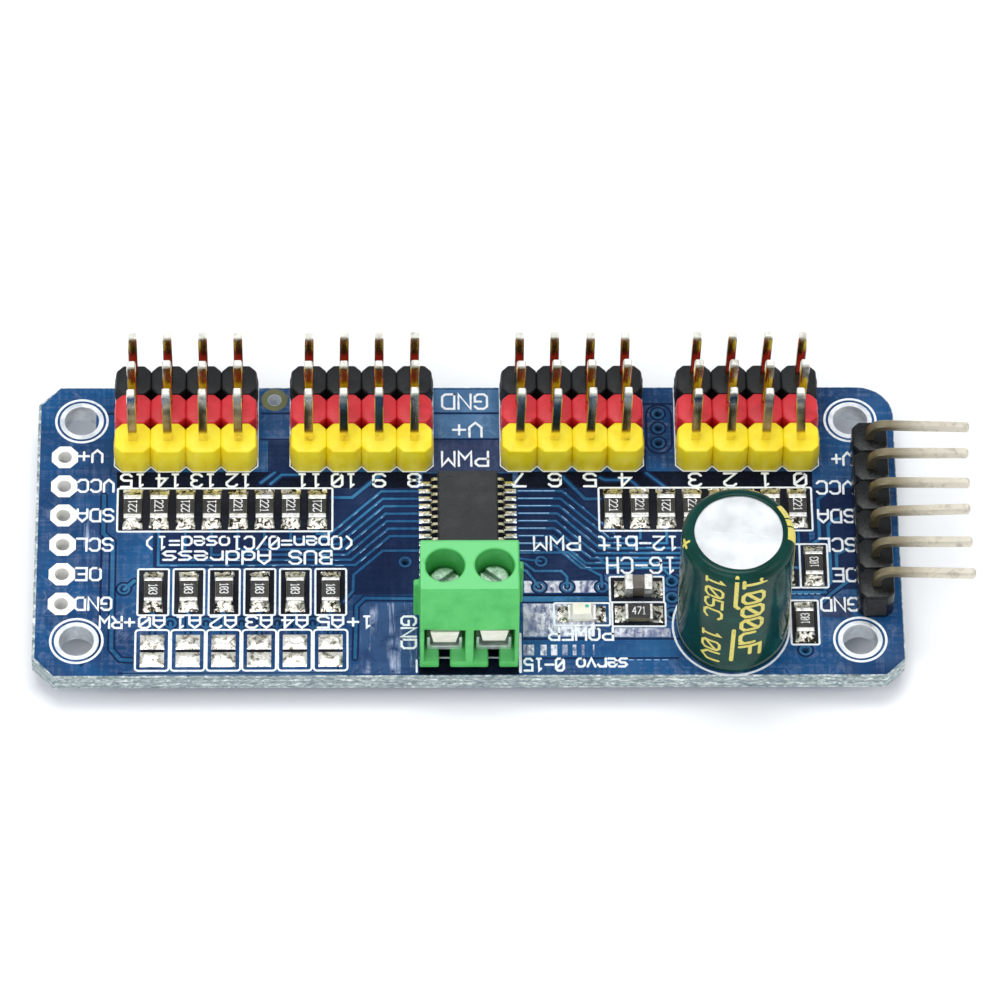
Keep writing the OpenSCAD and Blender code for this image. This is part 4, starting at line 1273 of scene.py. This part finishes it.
def make_servo_pins():
    for row, y in ROW_Y.items():
        for g in GROUPS:
            build = Build()
            for i in range(PER_GROUP):
                x = GROUP_X[g] + PITCH * (i + 0.5)
                lean = GROUP_LEAN[g][row] + RNG.uniform(-0.04, 0.04)
                if (g, row, i) == KNOCKED:
                    lean = KNOCKED_LEAN
                high = PIN_TOP + ROW_RISE[row] + RNG.uniform(-0.06, 0.04)
                square_pin(build, x, y, TAIL_Z, high, lean, RNG.uniform(-0.06, 0.06))
            node = row + "_pins_" + str(g)
            build.make(node + "_drawn", [PINS], "gold_flashed_pin", [node], 32)


def solder_joint(build, x, y, seed):
    """Solder cone on the underside with a slightly uneven foot."""
    steps = 20
    rings = []
    for radius, z in ((0.5, 0.3), (0.86, 0.02), (0.87, -0.06), (0.74, -0.2), (0.58, -0.42),
                      (0.46, -0.68), (0.36, -0.95)):
        ring = []
        for i in range(steps):
            angle = 2 * math.pi * i / steps
            wave = 1 + 0.05 * math.sin(3 * angle + seed) + 0.03 * math.sin(5 * angle + 2 * seed)
            ring.append((x + radius * wave * math.cos(angle), y + radius * wave * math.sin(angle), z))
        rings.append(ring)
    loft(build, rings)


def make_header_solder():
    build = Build()
    for k, (x, y) in enumerate(servo_points()):
        solder_joint(build, x, y, 1.7 * k)
    build.make("servo_solder_cones", [SOLDER], "solder", ["servo_header_solder"], 50)
    build = Build()
    for k, y in enumerate(CONTROL_Y):
        solder_joint(build, CONTROL_X, y, 2.3 * k)
    build.make("control_solder_cones", [SOLDER], "solder", ["control_header_solder"], 50)


# Tips of the bent pins, front to back: height above the board and X
CONTROL_TIPS = [(3.89, 36.08), (4.04, 35.95), (4.29, 35.89), (4.15, 35.98), (4.15, 36.01), (3.84, 36.21)]
CONTROL_BEND_Z = 4.05


def make_control_header():
    build = Build()
    for y in CONTROL_Y:
        cell(build, CONTROL_X, y, TOP + 0.01, HOUSING_TOP)
    torn_end(build, CONTROL_X, CONTROL_LOW.y, -1, True)
    torn_end(build, CONTROL_X, CONTROL_HIGH.y, 1, True)
    build.make("control_housing_moulding", [BLACK_GLOSS, BLACK_TORN], "black_plastic",
               ["control_header_housing"], 32)
    build = Build()
    for y, (tip_z, tip_x) in zip(CONTROL_Y, CONTROL_TIPS):
        bend_z = CONTROL_BEND_Z + 0.4 * (tip_z - CONTROL_BEND_Z)
        slope = (tip_z - bend_z) / (tip_x - CONTROL_X)
        arm = [(tip_x - back, TOP + tip_z - slope * back) for back in (0.4, 0.16, 0.0)]
        path = rounded_path([(CONTROL_X, TAIL_Z + 0.5), (CONTROL_X, TOP + bend_z), arm[0]], 1.15, 10)
        path = [(CONTROL_X, TAIL_Z)] + path + arm[1:]
        drift = RNG.uniform(-0.12, 0.12)
        reach = tip_x - CONTROL_X
        bent_bar(build, path, y, PIN_HALF, PIN_HALF, 0.11, tips=(0.7, 0.55),
                 sway=lambda x: drift * max(0.0, (x - CONTROL_X) / reach) ** 1.5)
    build.make("control_pins_bent", [CONTROL_PINS], "nickel_pin",
               ["control_header_pins"], 32)


# ---- Driver chip ----

LEADS_PER_SIDE = 14
LEAD_T = 0.13
LEAD_W = 0.24


def make_chip_moulding():
    build = Build()
    half_x, half_y = (CHIP_HIGH.x - CHIP_LOW.x) / 2, (CHIP_HIGH.y - CHIP_LOW.y) / 2
    middle = (CHIP_LOW.z + CHIP_HIGH.z) / 2
    draft, recess = 0.12, 0.035
    stations = [(CHIP_LOW.z, draft + 0.04), (CHIP_LOW.z + 0.05, draft), (middle - 0.02, 0.0),
                (middle + 0.02, 0.0), (CHIP_HIGH.z - 0.09, draft - 0.02), (CHIP_HIGH.z - recess, draft)]
    loft(build, [lift(octagon(CHIP.x, CHIP.y, half_x - less, half_y - less, 0.05), z)
                 for z, less in stations])
    top = octagon(CHIP.x, CHIP.y, half_x - draft - 0.04, half_y - draft - 0.04, 0.05)
    mark = circle(CHIP.x - 1.25, CHIP.y + 3.85, 0.36, 28)
    plate(build, top, CHIP_HIGH.z - recess - 0.01, CHIP_HIGH.z, [mark])
    build.make("chip_moulding", [EPOXY], "chip_epoxy", ["driver_chip_body"], 30)


def make_chip_leads():
    leads, joints = Build(), Build()
    half_x, middle = (CHIP_HIGH.x - CHIP_LOW.x) / 2, (CHIP_LOW.z + CHIP_HIGH.z) / 2
    inner, outer = half_x - 0.1, (LEAD_HIGH.x - LEAD_LOW.x) / 2
    foot_z = TOP + LEAD_T / 2
    for side in (-1, 1):
        line = [(inner, middle), (half_x + 0.34, middle), (outer - 0.52, foot_z), (outer, foot_z)]
        path = [(CHIP.x + side * x, z) for x, z in rounded_path(line, 0.13, 4)]
        for i in range(LEADS_PER_SIDE):
            y = CHIP.y + (i - (LEADS_PER_SIDE - 1) / 2) * LEAD_PITCH
            bent_bar(leads, path, y, LEAD_W / 2, LEAD_T / 2, 0.02)
            near, far = CHIP.x + side * (outer - 0.6), CHIP.x + side * (outer + 0.32)
            phase = RNG.uniform(0, 6)
            mound(joints, near, y - 0.19, far, y + 0.19, TOP,
                  lambda u, v, p=phase: (0.12 + 0.02 * math.sin(7 * u + p)) * (1 - abs(2 * v - 1) ** 3)
                  * (1 - max(0.0, u - 0.45) / 0.55) ** 0.8, 8, 6)
    leads.make("chip_gull_leads", [LEAD], "lead_tin", ["driver_chip_leads"], 35)
    joints.make("chip_lead_solder", [SOLDER], "solder", smooth=60)


# ---- Chip components ----

def chip_body(build, x, y, quarter, low, high, width, length, edge, slot=0):
    outline = rectangle(x - width / 2, y - length / 2, x + width / 2, y + length / 2)
    slab(build, turn(outline, x, y, quarter), low, high, edge, slot, edge * 0.5)


def chip_caps(build, x, y, quarter, height, reach=0.42):
    """Metal end caps with rounded edges, a little uneven in length."""
    for side in (-1, 1):
        deep = reach + RNG.uniform(-0.02, 0.03)
        outer = y + side * SMD_LENGTH / 2
        ends = sorted((outer, outer - side * deep))
        outline = rounded(x - SMD_WIDTH / 2, ends[0], x + SMD_WIDTH / 2, ends[1], 0.06, 2)
        slab(build, turn(outline, x, y, quarter), TOP + 0.005, TOP + height, 0.07)


def chip_fillets(build, x, y, quarter, height, width=1.42, reach=0.72):
    """Solder that climbs both ends of a component, dished and rippled."""
    for side in (-1, 1):
        phase, skew = RNG.uniform(0, 6.3), RNG.uniform(-0.35, 0.35)

        def rise(u, v, phase=phase, skew=skew):
            climb = (1 - v) ** 1.7
            sides = 1 - abs(2 * u - 1) ** 5
            dent = 0.07 * math.sin(5 * u + phase) * math.sin(4 * v + phase)
            return sides * (0.05 + (height * 0.78 + skew * height * (u - 0.5)) * climb + dent * v)

        start = len(build.verts)
        y0 = y + side * (SMD_LENGTH / 2 - 0.06)
        mound(build, x - width / 2, y0, x + width / 2, y0 + side * (reach + 0.06), TOP, rise, 12, 9)
        build.verts[start:] = turn(build.verts[start:], x, y, quarter)


def resistor(parts, x, y, quarter, code, sideways, reach):
    """Body, caps, solder and code. Sideways is 1 or -1 for a code that reads down or up, else 0."""
    chip_body(parts["body"], x, y, quarter, TOP + 0.04, TOP + 0.44, SMD_WIDTH - 0.03, 1.9, 0.03, 1)
    film = SMD_LENGTH - 2 * reach + 0.04
    chip_body(parts["body"], x, y, quarter, TOP + 0.36, TOP + 0.5, SMD_WIDTH - 0.08, film, 0.05)
    chip_caps(parts["caps"], x, y, quarter, RESISTOR_H - 0.02, reach)
    chip_fillets(parts["solder"], x, y, quarter, RESISTOR_H)
    low, high = TOP + 0.48, TOP + 0.507
    wobble = RNG.uniform(-0.05, 0.05)
    if sideways:
        half, tall = (0.42 if code == "103" else 0.52) * sideways, 0.29 * sideways
        write(parts["body"], code, (y + half + wobble, y - half + wobble), (x - tall, x + tall),
              0.07, low, high, False, 2)
    else:
        write(parts["body"], code, (x - 0.48, x + 0.48), (y - 0.29 + wobble, y + 0.31 + wobble),
              0.07, low, high, True, 2)


def resistor_pieces(places, body_node, caps_node, solder, reach):
    parts = {"body": Build(), "caps": Build(), "solder": solder}
    for x, y, quarter, code, sideways in places:
        resistor(parts, x, y, quarter, code, sideways, reach)
    parts["body"].make(body_node + "_glazed", [GLAZE, ALUMINA, CODE], "resistor_glaze", [body_node])
    parts["caps"].make(caps_node + "_tinned", [CAPS], "end_cap_tin", [caps_node])


def make_resistors(solder):
    series = [(x, SERIES_Y, False, "221", RNG.choice((1, 1, -1))) for x in SERIES_X]
    resistor_pieces(series, "series_resistor_bodies", "series_resistor_caps", solder,
                    SERIES_REACH)
    pulls = [(x, ADDRESS_Y, False, "103", 1) for x in ADDRESS_X]
    pulls += [(x, y, False, "103", -1) for x, y in BUS_PLACES]
    resistor_pieces(pulls, "pull_resistor_bodies", "pull_resistor_caps", solder, PULL_REACH)
    resistor_pieces([(*LAMP_RESISTOR, True, "471", 0)], "lamp_resistor_body", "lamp_resistor_caps",
                    solder, LAMP_REACH)


def make_bypass_capacitor(solder):
    body, caps = Build(), Build()
    chip_body(body, *BYPASS, True, TOP + 0.04, TOP + BYPASS_H - 0.03, 1.18, 1.9, 0.07)
    chip_caps(caps, *BYPASS, True, BYPASS_H, 0.6)
    chip_fillets(solder, *BYPASS, True, BYPASS_H * 0.6)
    body.make("bypass_capacitor_ceramic", [CERAMIC], "brown_ceramic",
              ["bypass_capacitor_body"])
    caps.make("bypass_capacitor_ends", [CAPS], "end_cap_tin", ["bypass_capacitor_caps"])


def make_power_lamp(solder):
    base, lens = Build(), Build()
    chip_body(base, *LAMP, True, TOP + 0.01, TOP + 0.34, 1.2, 1.96, 0.03)
    for side in (-1, 1):
        x = LAMP[0] + side * 0.84
        outline = rectangle(x - 0.17, LAMP[1] - 0.62, x + 0.17, LAMP[1] + 0.62)
        slab(base, outline, TOP + 0.005, TOP + 0.37, 0.03, 1)
    x, y = LAMP
    outline = rectangle(x - 0.82, y - 0.62, x + 0.82, y + 0.62)
    loft(lens, [lift(outline, TOP + 0.3), lift(outline, TOP + 0.42), lift(inset(outline, 0.14), TOP + 0.72),
                lift(inset(outline, 0.18), TOP + 0.79), lift(inset(outline, 0.23), TOP + 0.8)])
    turned(lens, x + 0.36, y + 0.2, [(0.15, TOP + 0.7), (0.15, TOP + 0.805), (0.1, TOP + 0.815)], 14, 1)
    chip_fillets(solder, *LAMP, True, 0.35)
    base.make("power_lamp_board", [LAMP_BASE, CAPS], "lamp_white", ["power_lamp_base"])
    lens.make("power_lamp_moulding", [LAMP_LENS, LAMP_TINT], "lamp_lens",
              ["power_lamp_lens"], 30)


def make_chip_components():
    solder = Build()
    make_resistors(solder)
    make_bypass_capacitor(solder)
    make_power_lamp(solder)
    solder.make("chip_component_solder", [SOLDER_ROUGH], "solder", ["chip_solder"], 60)


def make_jumper_solder():
    jumpers = Build()
    for x in ADDRESS_X:
        for side in (-1, 1):
            y = JUMPER_Y + side * JUMPER_STEP / 2
            phase = RNG.uniform(0, 6)
            mound(jumpers, x - 0.86, y - 0.62, x + 0.86, y + 0.62, TOP,
                  lambda u, v, p=phase: (1 - abs(2 * u - 1) ** 6) * (1 - abs(2 * v - 1) ** 4)
                  * (0.11 + 0.02 * math.sin(6 * u + p) + 0.02 * math.sin(5 * v + 2 * p)), 12, 9)
    jumpers.make("address_jumper_solder", [SOLDER_FLAT], "tin_plating",
                 ["jumper_pads"], 60)


# ---- Reservoir capacitor ----

SLEEVE_FOOT = CAP_LOW.z + 0.08
SHOULDER = 0.72
STRAIGHT = CAP_HIGH.z - SHOULDER - SLEEVE_FOOT
LIP_R = 3.1


def sleeve_point(around, up, out):
    """Point on the sleeve: distance round it from the front, distance up its side, and height over it."""
    angle = around / CAP_R
    if up <= STRAIGHT:
        radius, z = CAP_R + out, SLEEVE_FOOT + up
    else:
        lean = min((up - STRAIGHT) / SHOULDER, math.pi / 2)
        radius = CAP_R - SHOULDER + (SHOULDER + out) * math.cos(lean)
        z = SLEEVE_FOOT + STRAIGHT + (SHOULDER + out) * math.sin(lean)
        radius -= max(0.0, up - STRAIGHT - SHOULDER * math.pi / 2)
    return CAP.x + radius * math.sin(angle), CAP.y - radius * math.cos(angle), z


def make_sleeve():
    build = Build()
    rings = []
    steps = 96
    climb = [(-0.08, 0.05)] + [(STRAIGHT * k / 12, 0.0) for k in range(13)]
    climb += [(STRAIGHT + SHOULDER * math.pi / 2 * k / 8, 0.0) for k in range(1, 9)]
    for up, back in climb:
        rings.append([sleeve_point(CAP_R * 2 * math.pi * i / steps, up, -back) for i in range(steps)])
    # Wavy lip on the can's top, then down the inside
    for radius, z, wave in ((LIP_R + 0.04, CAP_HIGH.z - 0.01, 0.015), (LIP_R, CAP_HIGH.z - 0.05, 0.015),
                            (LIP_R + 0.02, CAP_HIGH.z - 0.1, 0.015),
                            (CAP_R - SHOULDER, CAP_HIGH.z - 0.1, 0.0),
                            (CAP_R - 0.16, CAP_HIGH.z - SHOULDER, 0.0),
                            (CAP_R - 0.12, CAP_LOW.z + 0.01, 0.0)):
        ring = []
        for i in range(steps):
            angle = 2 * math.pi * i / steps
            r = radius + wave * (math.sin(3 * angle + 1) + 0.6 * math.sin(7 * angle))
            ring.append((CAP.x + r * math.sin(angle), CAP.y - r * math.cos(angle), z))
        rings.append(ring)
    loft(build, rings, closed=True)
    build.make("capacitor_sleeve_film", [SLEEVE], "sleeve_film", ["capacitor_sleeve"], 50)


# How far the print reaches into the film and stands off it
PRINT_IN, PRINT_OUT = -0.02, 0.02
# Bars of the stripe that marks the negative lead: degrees round the sleeve from the front
STRIPES = ((80, 97), (99, 108), (110, 128))


def sleeve_band(build, start, end, low, high):
    """Curved patch of print between two distances round the sleeve and two up it."""
    columns = max(2, int((end - start) / 0.25))
    rows = max(2, int((high - low) / 0.2))
    rings = []
    for j in range(rows + 1):
        up = low + (high - low) * j / rows
        across = [start + (end - start) * i / columns for i in range(columns + 1)]
        rings.append([sleeve_point(around, up, PRINT_OUT) for around in across]
                     + [sleeve_point(around, up, PRINT_IN) for around in reversed(across)])
    loft(build, rings)


def make_sleeve_print():
    build = Build()
    for words, up, across, stroke in (("1000uF", (STRAIGHT + 0.55, 2.0), (0.3, 1.8), 0.28),
                                      ("105C 10V", (STRAIGHT + 0.3, 1.2), (-2.45, -1.15), 0.2)):
        write(build, words, up, across, stroke, PRINT_IN, PRINT_OUT, False, place=sleeve_point)
    for run in ([(-0.22, 11.8), (-0.22, 8.5), (0.0, 8.25)], [(-0.2, 5.4), (-0.25, 1.6)]):
        strip(build, divided(run, 0.4), 0.3, PRINT_IN, PRINT_OUT, place=sleeve_point)
    # Stripe that marks the negative lead, broken by dark minus signs
    up, top = 0.4, STRAIGHT + 0.95
    while up < top - 0.2:
        high = min(up + 1.9, top)
        for start, end in STRIPES:
            sleeve_band(build, CAP_R * math.radians(start), CAP_R * math.radians(end), up, high)
        up = high + 0.14
    for degrees in (156, 178):
        spot = CAP_R * math.radians(degrees)
        sleeve_band(build, spot, spot + 0.7, STRAIGHT + 0.1, STRAIGHT + 0.6)
    # Plus sign beside the positive lead
    spot = CAP_R * math.radians(-78)
    up = STRAIGHT + 0.45
    for run in ([(spot - 0.35, up), (spot + 0.35, up)], [(spot, up - 0.35), (spot, up + 0.35)]):
        strip(build, divided(run, 0.12), 0.2, PRINT_IN, PRINT_OUT, place=sleeve_point)
    build.make("capacitor_sleeve_print", [GOLD], "sleeve_film")


def make_vent_lines():
    """Faint scored lines of the vent in the capacitor's aluminium top."""
    build = Build()
    z = box_mm("capacitor_can")[1].z
    for points in ([(-2.6, 0.12), (-1.2, 0.0), (-0.35, -0.06)], [(0.5, -0.1), (2.0, -0.3)]):
        strip(build, [(CAP.x + x, CAP.y + y) for x, y in points], 0.09, z - 0.02, z + 0.006, 0, 0.03)
    build.make("capacitor_vent_lines", [TIN], "can_aluminium")


# ---- Carried-over CAD nodes: softened edges and their finishes ----

def soften(node, width):
    """Rebuilds a node's flat faces and rounds its hard edges, by modifiers only."""
    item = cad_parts[node]
    weld = item.modifiers.new("weld", "WELD")
    weld.merge_threshold = 0.002 * MM
    flat = item.modifiers.new("flat_faces", "DECIMATE")
    flat.decimate_type = "DISSOLVE"
    flat.angle_limit = math.radians(1.0)
    bevel = item.modifiers.new("soft_edges", "BEVEL")
    bevel.width = width * MM
    bevel.segments = 2
    bevel.limit_method = "ANGLE"
    bevel.angle_limit = math.radians(40)
    bevel.use_clamp_overlap = False
    normals = item.modifiers.new("even_shading", "WEIGHTED_NORMAL")
    normals.keep_sharp = True


# Finish of each carried-over node and the width of its softened edges
CARRIED = {
    "mounting_hole_plating": (TIN, 0.015), "spare_control_pads": (PAD, 0.015),
    "capacitor_can": (CAN, 0.0), "capacitor_bung": (RUBBER, 0.0), "capacitor_winding": (FOIL, 0.0),
    "capacitor_leads": (TIN, 0.0), "power_solder": (SOLDER, 0.0), "terminal_housing": (GREEN, 0.13),
    "terminal_contact_left": (TIN, 0.04), "terminal_contact_right": (TIN, 0.04),
    "wire_guard_left": (GUARD, 0.04), "wire_guard_right": (GUARD, 0.04),
    "terminal_screw_left": (STEEL_WITH_GREEN_REFLECTION, 0.05), "terminal_screw_right": (STEEL_WITH_GREEN_REFLECTION, 0.05),
}


def finish_carried_nodes():
    for node, (finish, width) in CARRIED.items():
        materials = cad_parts[node].data.materials
        materials.clear()
        materials.append(finish)
        if width:
            soften(node, width)


# ---- Studio ----

# Where the camera stands, as fitted to the object's known sizes: azimuth, elevation and roll in
# degrees, distance and aim point in millimetres, and focal length in sensor widths
CAMERA = {"azimuth": -1.862, "elevation": 55.841, "roll": 1.449, "distance": 518.513,
          "aim": (2.37, 2.567), "focal": 7.1796}
SENSOR = 36.0


def make_camera():
    a, e, roll = (math.radians(CAMERA[key]) for key in ("azimuth", "elevation", "roll"))
    back = Vector((math.sin(a) * math.cos(e), -math.cos(a) * math.cos(e), math.sin(e)))
    right = Vector((math.cos(a), math.sin(a), 0))
    up = back.cross(right)
    level = right * math.cos(roll) + up * math.sin(roll)
    upright = up * math.cos(roll) - right * math.sin(roll)
    data = bpy.data.cameras.new("studio_camera")
    data.sensor_width = SENSOR
    data.lens = SENSOR * CAMERA["focal"]
    data.clip_start = 0.02
    data.clip_end = 20.0
    camera = bpy.data.objects.new("studio_camera", data)
    bpy.context.scene.collection.objects.link(camera)
    aim = Vector((*CAMERA["aim"], TOP))
    spot = (aim + back * CAMERA["distance"]) * MM
    axes = Matrix((level, upright, back)).transposed().to_4x4()
    camera.matrix_world = Matrix.Translation(spot) @ axes
    bpy.context.scene.camera = camera


def area_light(name, where, aim, size, power):
    data = bpy.data.lights.new(name, "AREA")
    data.shape = "RECTANGLE"
    data.size, data.size_y = size
    data.energy = power
    light = bpy.data.objects.new(name, data)
    bpy.context.scene.collection.objects.link(light)
    direction = Vector(aim) - Vector(where)
    light.matrix_world = (Matrix.Translation(Vector(where))
                          @ direction.to_track_quat("-Z", "Y").to_matrix().to_4x4())


def make_studio():
    world = bpy.data.worlds.new("studio_world")
    bpy.context.scene.world = world
    world.use_nodes = True
    nodes, links = world.node_tree.nodes, world.node_tree.links
    sky = nodes["Background"]
    direction = nodes.new("ShaderNodeTexCoord").outputs["Generated"]
    split = nodes.new("ShaderNodeSeparateXYZ")
    links.new(direction, split.inputs["Vector"])
    shade = nodes.new("ShaderNodeValToRGB")
    marks = shade.color_ramp.elements
    marks[0].position, marks[0].color = 0.1, (0.92, 0.96, 1.0, 1.0)
    marks[1].position, marks[1].color = 0.8, (0.8, 0.83, 0.88, 1.0)
    links.new(split.outputs["Z"], shade.inputs["Fac"])
    links.new(shade.outputs["Color"], sky.inputs["Color"])
    sky.inputs["Strength"].default_value = 0.8
    area_light("key_softbox", (-0.25, -0.42, 0.62), (0, 0, 0), (0.5, 0.4), 1.6)
    area_light("fill_softbox", (0.5, -0.2, 0.5), (0, 0, 0), (0.35, 0.35), 0.7)
    area_light("overhead_softbox", (-0.04, 0.13, 0.72), (0, 0, 0), (0.36, 0.26), 1.95)

    half = 3.0
    thick = 0.02
    top_z = TAIL_Z * MM - 0.0001
    mesh = bpy.data.meshes.new("studio_floor")
    corners = [(sx * half, sy * half, z) for z in (top_z - thick, top_z)
               for sx, sy in ((-1, -1), (1, -1), (1, 1), (-1, 1))]
    mesh.from_pydata(corners, [], [(3, 2, 1, 0), (4, 5, 6, 7), (0, 1, 5, 4), (1, 2, 6, 5),
                                   (2, 3, 7, 6), (3, 0, 4, 7)])
    mesh.materials.append(FLOOR)
    floor = bpy.data.objects.new("studio_floor", mesh)
    bpy.context.scene.collection.objects.link(floor)
    bpy.context.scene.view_settings.view_transform = "Standard"


make_board()
make_zones()
make_via_rings()
make_tracks()
make_tooling_ring()
make_glints()
make_silkscreen()
make_servo_housings()
make_servo_pins()
make_header_solder()
make_control_header()
make_chip_moulding()
make_chip_leads()
make_chip_components()
make_jumper_solder()
make_sleeve()
make_sleeve_print()
make_vent_lines()
finish_carried_nodes()
make_camera()
make_studio()
